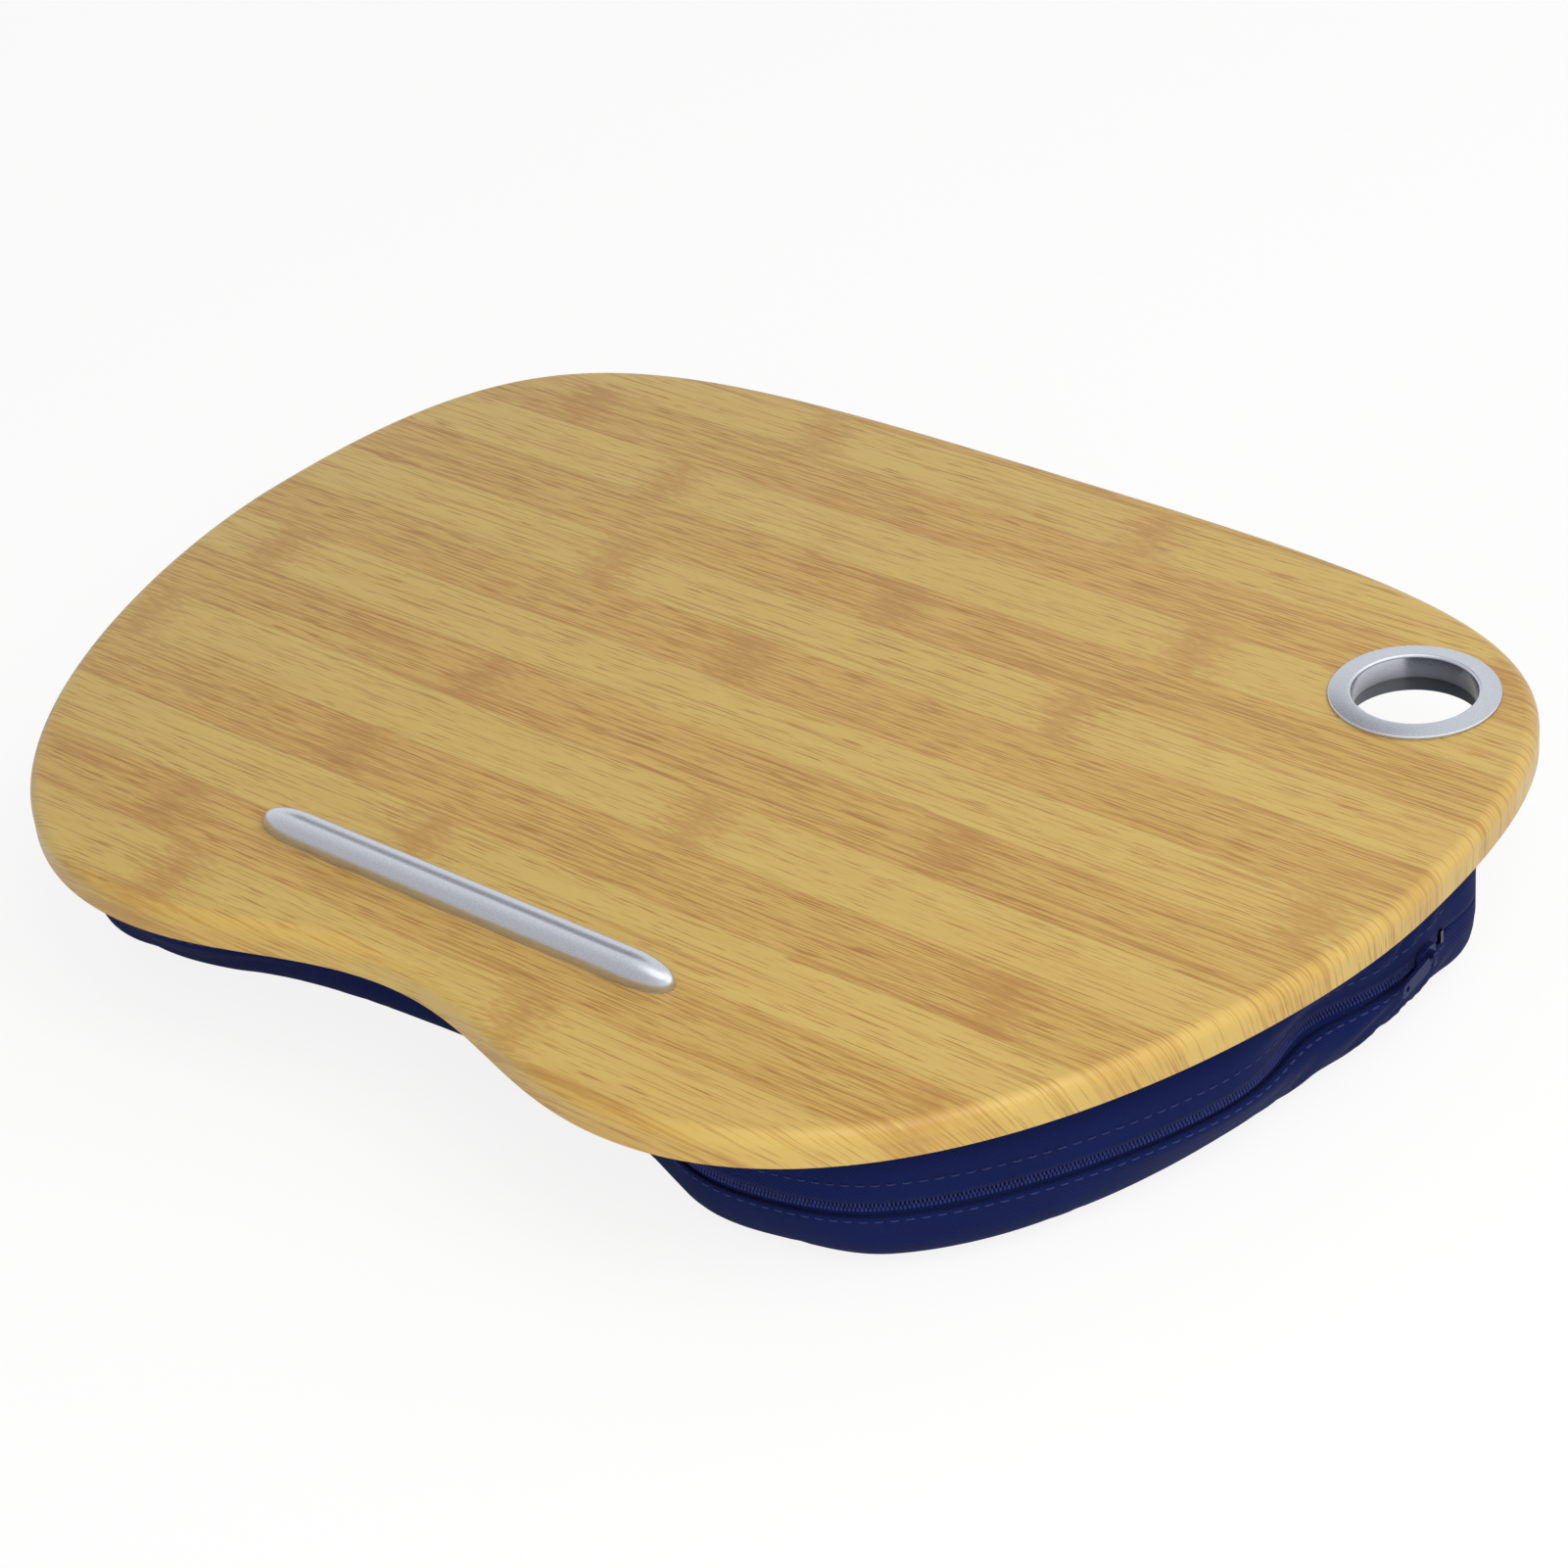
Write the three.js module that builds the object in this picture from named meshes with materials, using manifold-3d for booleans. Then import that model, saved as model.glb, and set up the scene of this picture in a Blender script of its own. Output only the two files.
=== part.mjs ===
// Laptop bed tray: a foil-wrapped kidney board with a cable ring and a stop bar, on a zipped bead cushion.
// Millimetres, X to the right, Y to the back, Z up, the floor at Z = 0 under the middle of the board.
import * as THREE from "three";
import { mergeVertices } from "three/addons/utils/BufferGeometryUtils.js";
import Module from "manifold-3d";

const wasm = await Module();
wasm.setup();

// Board
const BOARD_WIDTH = 510;
const BOARD_DEPTH = 385;
const BOARD_THICKNESS = 12;
const EDGE_ROLL = 5;
const FOIL_THICKNESS = 0.4;
const GLUE_LINE = 0.05;
const WIDEST_FROM_BACK = 162.5;
const LOBE_X = 104;
const NOTCH_DEPTH = 21;
// Fullness of each curve of the outline, as a share of the distance it has to cover
const BACK_FULLNESS = 0.75;
const BACK_CORNER_FULLNESS = 0.98;
const SIDE_FULLNESS = 0.33;
const FRONT_CORNER_FULLNESS = 0.69;
const LOBE_FULLNESS = 0.38;
const NOTCH_FULLNESS = 0.37;
const BOARD_STEPS = 16;

// Cable ring, in two halves that clip together through one drilled hole
const RING_FROM_SIDE = 62;
const RING_FROM_BACK = 65;
const HOLE_RADIUS = 25;
const BEZEL_FLANGE_RADIUS = 29;
const BEZEL_EDGE = 1.3;
const BEZEL_RISE = 2.2;
const BEZEL_EDGE_ROUND = 0.55;
const BEZEL_LIP_ROUND = 1.1;
const BEZEL_BORE_RADIUS = 21.1;
const BEZEL_WALL = 1.7;
const BEZEL_REACH = 6.7;
const COLLAR_FLANGE_RADIUS = 29;
const COLLAR_FLANGE = 1.3;
const COLLAR_HOLE_CLEARANCE = 0.3;
const COLLAR_SLIDE_CLEARANCE = 0.25;
const CLIP_BEAD = 0.45;
const CLIP_LENGTH = 1.6;
const RING_STEPS = 48;

// Stop bar and its screws
const BAR_LENGTH = 178;
const BAR_WIDTH = 14;
const BAR_HEIGHT = 8;
const BAR_FROM_FRONT = 57;
const BAR_TIP_LENGTH = 18;
const BAR_FULLNESS = 0.75;
const BAR_WALL = 1.6;
const BAR_BOSS_RADIUS = 3.2;
const BAR_RIB = 1;
const SCREW_SPACING = 60;
const SCREW_RADIUS = 1.75;
const SCREW_HEAD_RADIUS = 3.8;
const SCREW_HEAD_HEIGHT = 2.2;
const SCREW_HEAD_RIM = 0.4;
const SCREW_BITE = 4;
const SCREW_CLEARANCE = 0.3;
const SCREW_PILOT_CLEARANCE = 0.1;

// Cushion
const CUSHION_HEIGHT = 58;
const CUSHION_INSET = 12;
const CUSHION_SIDE_RADIUS = 260;
const CUSHION_CORNER_RADIUS = 25;
const CUSHION_LOBE_RADIUS = 63;
const CUSHION_FRONT_INSET = 28;
const CUSHION_NOTCH_DEPTH = 32;
const CUSHION_RING_CLEARANCE = 1.5;
const CUSHION_ROLL = 20;
const COVER_THICKNESS = 1.2;
const BAG_CLEARANCE = 0.4;

// Hook and loop pads between the cover and the board
const PAD_LENGTH = 60;
const PAD_WIDTH = 20;
const HOOK_THICKNESS = 1.2;
const LOOP_THICKNESS = 1;
const PAD_FROM_SIDE = 115;
const PAD_FROM_BACK = 52;
const PAD_FROM_FRONT = 69.5;

// Zip
const ZIP_OPENING = 6;
const ZIP_TAPE_WIDTH = 10.5;
const ZIP_TAPE_THICKNESS = 0.7;
const ZIP_TAPE_CLEARANCE = 0.2;
const ZIP_TAPE_PARTING = 0.3;
const COIL_RADIUS = 0.7;
const COIL_CLEARANCE = 0.25;
const ZIP_END_FROM_CORNER = 10.4;
const SLIDER_FROM_END = 13.6;
const SLIDER_LENGTH = 11;
const SLIDER_WIDTH = 7;
const SLIDER_PLATE = 1.4;
const SLIDER_CLEARANCE = 0.5;
const SLIDER_CHEEK = 0.5;
const SLIDER_TAPER = 1.2;
const SLIDER_SHOULDER = 1.1;
const SLIDER_ROUND = 1.3;
const PULL_PIN_RADIUS = 0.6;
const PULL_PIN_CLEARANCE = 0.08;
const PULL_KNUCKLE_RADIUS = 1.3;
const PULL_KNUCKLE_LENGTH = 2.4;
const PULL_EAR = 1;
const PULL_EAR_CLEARANCE = 0.2;
const PULL_LENGTH = 22;
const PULL_WIDTH = 5.2;
const PULL_THICKNESS = 1.2;
const PULL_SHOULDER_ROUND = 0.8;
const PULL_END_ROUND = 2.3;
const PULL_EYE_RADIUS = 1.1;
const PULL_EYE_FROM_END = 3.4;
const STOP_LENGTH = 2;
const STOP_PLATE = 0.6;
const STOP_FROM_END = 0.5;

// Heights and places that follow from the sizes
const boardBottom = CUSHION_HEIGHT + LOOP_THICKNESS + HOOK_THICKNESS;
const boardTop = boardBottom + BOARD_THICKNESS;
const ringX = BOARD_WIDTH / 2 - RING_FROM_SIDE;
const ringY = BOARD_DEPTH / 2 - RING_FROM_BACK;
const barY = -BOARD_DEPTH / 2 + BAR_FROM_FRONT;
const zipZ = CUSHION_HEIGHT / 2;
const widestY = BOARD_DEPTH / 2 - WIDEST_FROM_BACK;

const wood = new THREE.MeshStandardMaterial({ color: 0xc9a66b, roughness: 0.8 });
const print = new THREE.MeshStandardMaterial({ color: 0xd2ae6a, roughness: 0.4 });
const silver = new THREE.MeshStandardMaterial({ color: 0xb9bdc6, roughness: 0.35, metalness: 0.6 });
const steel = new THREE.MeshStandardMaterial({ color: 0xc4c6c9, roughness: 0.3, metalness: 1 });
const navy = new THREE.MeshStandardMaterial({ color: 0x1b2463, roughness: 0.9 });
const bagCloth = new THREE.MeshStandardMaterial({ color: 0xe6e4de, roughness: 0.95 });
const black = new THREE.MeshStandardMaterial({ color: 0x1c1d22, roughness: 0.9 });

const group = new THREE.Group();
group.name = "laptop_bed_tray";

function addMesh(name, geometry, material) {
  const mesh = new THREE.Mesh(geometry, material);
  mesh.name = name;
  group.add(mesh);
}

// A closed skin over a row of rings with equal point counts, capped flat at its first and last ring.
// With joined set, the last ring runs on into the first and there are no caps.
function loft(rings, joined = false) {
  const count = rings[0].length;
  const position = rings.flat().flatMap((p) => [p.x, p.y, p.z]);
  const index = [];
  const spans = joined ? rings.length : rings.length - 1;
  for (let r = 0; r < spans; r++) {
    const a = r * count;
    const b = ((r + 1) % rings.length) * count;
    for (let i = 0; i < count; i++) {
      const j = (i + 1) % count;
      index.push(a + i, b + i, b + j, a + i, b + j, a + j);
    }
  }
  if (!joined) {
    const last = (rings.length - 1) * count;
    for (const [start, ring, flip] of [[0, rings[0], false], [last, rings[rings.length - 1], true]]) {
      for (const [i, j, k] of capFaces(ring)) {
        if (flip) index.push(start + k, start + j, start + i);
        else index.push(start + i, start + j, start + k);
      }
    }
  }
  const geometry = new THREE.BufferGeometry();
  geometry.setAttribute("position", new THREE.Float32BufferAttribute(position, 3));
  geometry.setIndex(index);
  return facingOut(geometry);
}

// Triangles over a flat ring, seen in its own plane, wound the way the ring runs.
function capFaces(ring) {
  const normal = new THREE.Vector3();
  for (let i = 0; i < ring.length; i++) {
    const a = ring[i];
    const b = ring[(i + 1) % ring.length];
    normal.add(new THREE.Vector3().crossVectors(a, b));
  }
  normal.normalize();
  const turn = new THREE.Quaternion().setFromUnitVectors(normal, new THREE.Vector3(0, 0, 1));
  const flat = ring.map((p) => {
    const q = p.clone().applyQuaternion(turn);
    return new THREE.Vector2(q.x, q.y);
  });
  return THREE.ShapeUtils.triangulateShape(flat, []);
}

// The same geometry with its faces turned outwards.
function facingOut(geometry) {
  const p = geometry.getAttribute("position");
  const index = geometry.index.array;
  const a = new THREE.Vector3();
  const b = new THREE.Vector3();
  const c = new THREE.Vector3();
  let volume = 0;
  for (let i = 0; i < index.length; i += 3) {
    a.fromBufferAttribute(p, index[i]);
    b.fromBufferAttribute(p, index[i + 1]);
    c.fromBufferAttribute(p, index[i + 2]);
    volume += a.dot(b.cross(c));
  }
  if (volume < 0) {
    for (let i = 0; i < index.length; i += 3) {
      const k = index[i + 1];
      index[i + 1] = index[i + 2];
      index[i + 2] = k;
    }
  }
  return geometry;
}

function toSolid(geometry) {
  const bare = geometry.clone();
  bare.deleteAttribute("normal");
  bare.deleteAttribute("uv");
  const merged = mergeVertices(bare, 1e-4);
  return new wasm.Manifold(
    new wasm.Mesh({
      numProp: 3,
      vertProperties: new Float32Array(merged.attributes.position.array),
      triVerts: new Uint32Array(merged.index.array),
    }),
  );
}

function toGeometry(solid) {
  const mesh = solid.getMesh();
  const geometry = new THREE.BufferGeometry();
  geometry.setAttribute("position", new THREE.BufferAttribute(new Float32Array(mesh.vertProperties), 3));
  geometry.setIndex(new THREE.BufferAttribute(new Uint32Array(mesh.triVerts), 1));
  return geometry;
}

function cut(geometry, tools) {
  let solid = toSolid(geometry);
  for (const tool of tools) solid = solid.subtract(toSolid(tool));
  return toGeometry(solid);
}

function join(pieces) {
  let solid = toSolid(pieces[0]);
  for (const piece of pieces.slice(1)) solid = solid.add(toSolid(piece));
  return toGeometry(solid);
}

// A closed profile of [across, up, radius] corners with an arc at each corner that has a radius.
function rounded(corners, steps = 3) {
  return corners.flatMap(([across, up, radius], i) => {
    if (!radius) return [[across, up]];
    const here = new THREE.Vector2(across, up);
    const [beforeAcross, beforeUp] = corners[(i + corners.length - 1) % corners.length];
    const [afterAcross, afterUp] = corners[(i + 1) % corners.length];
    const before = new THREE.Vector2(beforeAcross, beforeUp).sub(here).normalize();
    const after = new THREE.Vector2(afterAcross, afterUp).sub(here).normalize();
    const half = before.angleTo(after) / 2;
    const middle = before.clone().add(after).normalize().multiplyScalar(radius / Math.sin(half)).add(here);
    const start = here.clone().addScaledVector(before, radius / Math.tan(half));
    const turn = -Math.sign(before.cross(after)) * (Math.PI - 2 * half);
    const points = [];
    for (let k = 0; k <= steps; k++) {
      const p = start.clone().rotateAround(middle, (turn * k) / steps);
      points.push([p.x, p.y]);
    }
    return points;
  });
}

// A flat piece drawn as [along, up] points, with its back face at a distance out from the cloth.
function flatPiece(points, thickness, out, holes = []) {
  const shape = new THREE.Shape(points.map(([x, y]) => new THREE.Vector2(x, y)));
  shape.holes.push(...holes);
  const piece = new THREE.ExtrudeGeometry(shape, { depth: thickness, bevelEnabled: false, curveSegments: 8 });
  return piece.rotateX(-Math.PI / 2).translate(0, out, 0);
}

// A turned piece: a closed profile of [radius, height] points carried round an upright axis at x, y.
function turned(profile, x, y, steps) {
  const rings = profile.map(([radius, z]) => circleAt(x, y, radius, z, steps));
  return loft(rings, true);
}

// A turned piece that is solid on its axis.
function spindle(profile, x, y, steps) {
  return loft(profile.map(([radius, z]) => circleAt(x, y, radius, z, steps)));
}

function circleAt(x, y, radius, z, steps) {
  const ring = [];
  for (let i = 0; i < steps; i++) {
    const a = (2 * Math.PI * i) / steps;
    ring.push(new THREE.Vector3(x + radius * Math.cos(a), y + radius * Math.sin(a), z));
  }
  return ring;
}

function box(width, depth, height, x, y, z) {
  return new THREE.BoxGeometry(width, depth, height).translate(x, y, z);
}

// A ring of an outline, moved inwards along its normals and set at a height.
// The height is a number, or a function of the outline's point.
function ringOf(outline, inset, z) {
  return outline.map((q) => {
    const height = typeof z === "function" ? z(q) : z;
    return new THREE.Vector3(q.x - inset * q.nx, q.y - inset * q.ny, height);
  });
}

// Board outline: four turning points on the right half, a smooth curve from each to the next, then its mirror image
function boardOutline() {
  const halfWidth = BOARD_WIDTH / 2;
  const halfDepth = BOARD_DEPTH / 2;
  const back = new THREE.Vector2(0, halfDepth);
  const side = new THREE.Vector2(halfWidth, widestY);
  const lobe = new THREE.Vector2(LOBE_X, -halfDepth);
  const notch = new THREE.Vector2(0, -halfDepth + NOTCH_DEPTH);
  const curves = [
    new THREE.CubicBezierCurve(
      back,
      new THREE.Vector2(BACK_FULLNESS * halfWidth, halfDepth),
      new THREE.Vector2(halfWidth, widestY + BACK_CORNER_FULLNESS * (halfDepth - widestY)),
      side,
    ),
    new THREE.CubicBezierCurve(
      side,
      new THREE.Vector2(halfWidth, widestY - SIDE_FULLNESS * (halfDepth + widestY)),
      new THREE.Vector2(LOBE_X + FRONT_CORNER_FULLNESS * (halfWidth - LOBE_X), -halfDepth),
      lobe,
    ),
    new THREE.CubicBezierCurve(
      lobe,
      new THREE.Vector2((1 - LOBE_FULLNESS) * LOBE_X, -halfDepth),
      new THREE.Vector2(NOTCH_FULLNESS * LOBE_X, notch.y),
      notch,
    ),
  ];
  const right = [];
  for (const curve of curves) {
    for (let i = 0; i < BOARD_STEPS; i++) {
      const u = i / BOARD_STEPS;
      const p = curve.getPoint(u);
      const t = curve.getTangent(u);
      right.push({ x: p.x, y: p.y, nx: -t.y, ny: t.x });
    }
  }
  right.push({ x: notch.x, y: notch.y, nx: 0, ny: -1 });
  return withMirror(right);
}

// The right half of an outline and its mirror image, from the back middle round by the right.
function withMirror(right) {
  const left = right.slice(1, -1).reverse().map((q) => ({ ...q, x: -q.x, nx: -q.nx, left: true }));
  return [...right, ...left];
}

// The rolled panel between two depths below the foil's face: its rings from the top down.
function panelRings(outline, depth) {
  const roll = EDGE_ROLL - depth;
  const rings = [];
  for (const turn of [0, 30, 60, 90]) {
    const a = THREE.MathUtils.degToRad(turn);
    rings.push(ringOf(outline, depth + roll * (1 - Math.sin(a)), boardTop - depth - roll * (1 - Math.cos(a))));
  }
  rings.push(ringOf(outline, depth, boardBottom));
  return rings;
}

const boardEdge = boardOutline();
const screwXs = [-SCREW_SPACING, 0, SCREW_SPACING];
const holeTool = spindle([[HOLE_RADIUS, boardBottom - 5], [HOLE_RADIUS, boardTop + 5]], ringX, ringY, RING_STEPS);
const shankHole = SCREW_RADIUS + SCREW_CLEARANCE;
const headHole = SCREW_HEAD_RADIUS + SCREW_CLEARANCE;
const headSeat = boardBottom + SCREW_HEAD_HEIGHT + SCREW_CLEARANCE;
const screwTools = screwXs.map((x) =>
  spindle(
    [
      [headHole, boardBottom - 5],
      [headHole, boardBottom + SCREW_HEAD_RIM],
      [shankHole, headSeat],
      [shankHole, boardTop + 5],
    ],
    x,
    barY,
    16,
  ),
);
const foilSkin = [...panelRings(boardEdge, 0), ...panelRings(boardEdge, FOIL_THICKNESS).reverse()];
addMesh("board_core", cut(loft(panelRings(boardEdge, FOIL_THICKNESS + GLUE_LINE)), [holeTool, ...screwTools]), wood);
addMesh("bamboo_foil", cut(loft(foilSkin), [holeTool, ...screwTools]), print);

// Cable ring: the bezel drops in from above, and the collar slides over its barrel from below and clips on a bead
const barrelRadius = BEZEL_BORE_RADIUS + BEZEL_WALL;
const barrelEnd = boardTop - BEZEL_REACH;
const clipTop = barrelEnd + 2 * CLIP_LENGTH;
const bezel = [
  ...rounded(
    [
      [BEZEL_BORE_RADIUS, boardTop],
      [BEZEL_FLANGE_RADIUS, boardTop],
      [BEZEL_FLANGE_RADIUS, boardTop + BEZEL_EDGE, BEZEL_EDGE_ROUND],
      [BEZEL_BORE_RADIUS, boardTop + BEZEL_RISE, BEZEL_LIP_ROUND],
    ],
    4,
  ).slice(1),
  [BEZEL_BORE_RADIUS, barrelEnd],
  [barrelRadius, barrelEnd],
  [barrelRadius, barrelEnd + 0.5 * CLIP_LENGTH],
  [barrelRadius + CLIP_BEAD, barrelEnd + CLIP_LENGTH],
  [barrelRadius, clipTop - 0.5 * CLIP_LENGTH],
  [barrelRadius, boardTop],
];
const collarInner = barrelRadius + COLLAR_SLIDE_CLEARANCE;
const collarOuter = HOLE_RADIUS - COLLAR_HOLE_CLEARANCE;
const collarTop = boardTop - COLLAR_HOLE_CLEARANCE;
const collar = [
  [collarOuter, boardBottom],
  [collarOuter, collarTop],
  [collarInner, collarTop],
  [collarInner, clipTop - 0.5 * CLIP_LENGTH],
  [collarInner + CLIP_BEAD, barrelEnd + CLIP_LENGTH],
  [collarInner, barrelEnd + 0.5 * CLIP_LENGTH],
  [collarInner, boardBottom - COLLAR_FLANGE],
  [COLLAR_FLANGE_RADIUS - 0.6, boardBottom - COLLAR_FLANGE],
  [COLLAR_FLANGE_RADIUS, boardBottom - 0.4 * COLLAR_FLANGE],
  [COLLAR_FLANGE_RADIUS, boardBottom],
];
addMesh("ring_bezel", turned(bezel, ringX, ringY, RING_STEPS), silver);
addMesh("ring_collar", turned(collar, ringX, ringY, RING_STEPS), silver);

// Stop bar: a moulded shell with a squared half-round section and bullet ends, its rim on the foil.
// A positive inset gives the hollow inside it, drawn out below the rim.
function barGeometry(inset) {
  const straight = BAR_LENGTH / 2 - BAR_TIP_LENGTH;
  const tip = BAR_TIP_LENGTH - inset;
  const halfWidth = BAR_WIDTH / 2 - inset;
  const height = BAR_HEIGHT - inset;
  const stations = [80, 66, 50, 32, 14, 0].map((turn) => {
    const a = THREE.MathUtils.degToRad(turn);
    return [straight + (tip * Math.sin(a)) / Math.sin(THREE.MathUtils.degToRad(80)), Math.cos(a)];
  });
  const all = [...stations.map(([x, s]) => [-x, s]), ...stations.slice().reverse()];
  const rings = all.map(([x, s]) => {
    const ring = [];
    for (let i = 0; i <= 12; i++) {
      const a = (Math.PI * i) / 12;
      const across = Math.sign(Math.cos(a)) * Math.abs(Math.cos(a)) ** BAR_FULLNESS;
      const up = Math.sin(a) ** BAR_FULLNESS;
      ring.push(new THREE.Vector3(x, barY + halfWidth * s * across, boardTop + height * Math.sqrt(s) * up));
    }
    if (inset > 0) {
      ring[0].z = boardTop - inset;
      ring[12].z = boardTop - inset;
    }
    return ring;
  });
  return loft(rings);
}
const pilotRadius = SCREW_RADIUS + SCREW_PILOT_CLEARANCE;
const pilotTop = boardTop + SCREW_BITE + SCREW_CLEARANCE;
const pilots = screwXs.map((x) => spindle([[pilotRadius, boardTop - 5], [pilotRadius, pilotTop]], x, barY, 16));
const bossTop = boardTop + BAR_HEIGHT - BAR_WALL / 2;
const bosses = screwXs.map((x) => spindle([[BAR_BOSS_RADIUS, boardTop], [BAR_BOSS_RADIUS, bossTop]], x, barY, 16));
const ribXs = [-1.25, -0.75, -0.25, 0.25, 0.75, 1.25].map((share) => share * SCREW_SPACING);
const ribHeight = BAR_HEIGHT / 2;
const ribs = ribXs.map((x) => box(BAR_RIB, BAR_WIDTH - BAR_WALL, ribHeight, x, barY, boardTop + ribHeight / 2));
const barShell = cut(barGeometry(0), [barGeometry(BAR_WALL)]);
addMesh("stop_bar", cut(join([barShell, ...bosses, ...ribs]), pilots), silver);
["left", "middle", "right"].forEach((side, i) => {
  const profile = [
    [SCREW_HEAD_RADIUS, boardBottom + 0.1],
    [SCREW_HEAD_RADIUS, boardBottom + SCREW_HEAD_RIM],
    [SCREW_RADIUS, boardBottom + SCREW_HEAD_HEIGHT],
    [SCREW_RADIUS, boardTop + SCREW_BITE - 1],
    [0.5, boardTop + SCREW_BITE],
  ];
  addMesh("stop_bar_screw_" + side, spindle(profile, screwXs[i], barY, 16), steel);
});

// Cushion outline at its fullest: back edge, back corner, long side, front lobe and belly notch, each a tangent arc
const sideCentreX = BOARD_WIDTH / 2 - CUSHION_INSET - CUSHION_SIDE_RADIUS;
const cushionBack = ringY - COLLAR_FLANGE_RADIUS - CUSHION_RING_CLEARANCE;
const cushionFront = -BOARD_DEPTH / 2 + CUSHION_FRONT_INSET;
const cornerY = cushionBack - CUSHION_CORNER_RADIUS;
const cornerReach = CUSHION_SIDE_RADIUS - CUSHION_CORNER_RADIUS;
const cornerX = sideCentreX + Math.sqrt(cornerReach ** 2 - (cornerY - widestY) ** 2);
const cornerTurn = Math.atan2(cornerY - widestY, cornerX - sideCentreX);
const lobeY = cushionFront + CUSHION_LOBE_RADIUS;
const lobeReach = CUSHION_SIDE_RADIUS - CUSHION_LOBE_RADIUS;
const lobeX = sideCentreX + Math.sqrt(lobeReach ** 2 - (lobeY - widestY) ** 2);
const lobeTurn = Math.atan2(lobeY - widestY, lobeX - sideCentreX);
const notchDrop = CUSHION_NOTCH_DEPTH;
const notchRadius = (lobeX ** 2 - 2 * CUSHION_LOBE_RADIUS * notchDrop + notchDrop ** 2) / (2 * notchDrop);
const notchCentreY = cushionFront + notchDrop - notchRadius;
const flankTurn = Math.atan2(notchCentreY - lobeY, -lobeX);
const zipEnd = cornerTurn - ZIP_END_FROM_CORNER / CUSHION_SIDE_RADIUS;
const sliderTurn = zipEnd - SLIDER_FROM_END / CUSHION_SIDE_RADIUS;

// Points on an arc from one direction to another, both measured at its centre. A hollow arc faces its centre.
function arc(x, y, radius, from, to, steps, tags = {}) {
  const points = [];
  const sign = tags.hollow ? -1 : 1;
  for (let i = 0; i < steps; i++) {
    const a = from + ((to - from) * i) / steps;
    const nx = Math.cos(a);
    const ny = Math.sin(a);
    points.push({ x: x + radius * nx, y: y + radius * ny, nx: sign * nx, ny: sign * ny, zip: tags.zip === true });
  }
  return points;
}

const flank = flankTurn - Math.PI * 2 * Math.round((flankTurn + Math.PI / 2) / (Math.PI * 2));
const hollowFrom = flank + Math.PI;
const cushionEdge = withMirror([
  { x: 0, y: cushionBack, nx: 0, ny: 1, zip: false },
  ...arc(cornerX, cornerY, CUSHION_CORNER_RADIUS, Math.PI / 2, cornerTurn, 6),
  ...arc(sideCentreX, widestY, CUSHION_SIDE_RADIUS, cornerTurn, zipEnd, 1),
  ...arc(sideCentreX, widestY, CUSHION_SIDE_RADIUS, zipEnd, lobeTurn, 14, { zip: true }),
  ...arc(lobeX, lobeY, CUSHION_LOBE_RADIUS, lobeTurn, flank, 9, { zip: true }),
  ...arc(0, notchCentreY, notchRadius, hollowFrom, Math.PI / 2, 5, { zip: true, hollow: true }),
  { x: 0, y: cushionFront + notchDrop, nx: 0, ny: -1, zip: true },
]);
// On the left the zip stops at the far end of the lobe.
cushionEdge.forEach((q) => {
  const pastLobe = q.y > lobeY + CUSHION_LOBE_RADIUS * Math.sin(lobeTurn) + 0.01;
  if (q.left && q.x < -lobeX && pastLobe) q.zip = false;
});
const zipPath = cushionEdge.filter((q) => q.zip);

// Profile of the cushion's wall as [inset, height], from the zip outwards to the flat top or bottom
const roll = Math.min(CUSHION_ROLL, 0.8 * CUSHION_CORNER_RADIUS);
const bandHalf = ZIP_TAPE_WIDTH + 1.5;
const rollDrop = CUSHION_HEIGHT / 2 - bandHalf;
function wall(direction) {
  const end = direction > 0 ? CUSHION_HEIGHT : 0;
  const at = (share) => zipZ + direction * (bandHalf + share * rollDrop);
  return [
    [0, zipZ + direction * bandHalf],
    [0.1 * roll, at(0.42)],
    [0.32 * roll, at(0.76)],
    [0.64 * roll, at(0.95)],
    [roll, end],
  ];
}
// The same wall moved inwards by a thickness, square to itself.
function wallInside(direction, thickness) {
  const outer = wall(direction);
  return outer.map(([inset, z], i) => {
    const [ai, az] = outer[Math.max(i - 1, 0)];
    const [bi, bz] = outer[Math.min(i + 1, outer.length - 1)];
    let ni = direction * (bz - az);
    let nz = -direction * (bi - ai);
    const size = Math.hypot(ni, nz);
    if (i === outer.length - 1) return [inset, z - direction * thickness];
    ni /= size;
    nz /= size;
    return [inset + thickness * ni, z + nz * thickness];
  });
}

const lipHeight = (direction) => (q) => zipZ + (q.zip ? direction * (ZIP_OPENING / 2) : 0);
function coverHalf(direction) {
  const outer = wall(direction).reverse().map(([inset, z]) => ringOf(cushionEdge, inset, z));
  const inner = wallInside(direction, COVER_THICKNESS).map(([inset, z]) => ringOf(cushionEdge, inset, z));
  const lipOut = ringOf(cushionEdge, 0, lipHeight(direction));
  const lipIn = ringOf(cushionEdge, COVER_THICKNESS, lipHeight(direction));
  return loft([...outer, lipOut, lipIn, ...inner]);
}
addMesh("cover_upper", coverHalf(1), navy);
addMesh("cover_lower", coverHalf(-1), navy);

const tapeOut = COVER_THICKNESS + ZIP_TAPE_CLEARANCE;
const bagInset = tapeOut + ZIP_TAPE_THICKNESS + BAG_CLEARANCE;
const bagRings = [
  ...wallInside(1, bagInset).reverse().map(([inset, z]) => ringOf(cushionEdge, inset, z)),
  ...wallInside(-1, bagInset).map(([inset, z]) => ringOf(cushionEdge, inset, z)),
];
addMesh("bead_bag", loft(bagRings), bagCloth);

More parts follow.
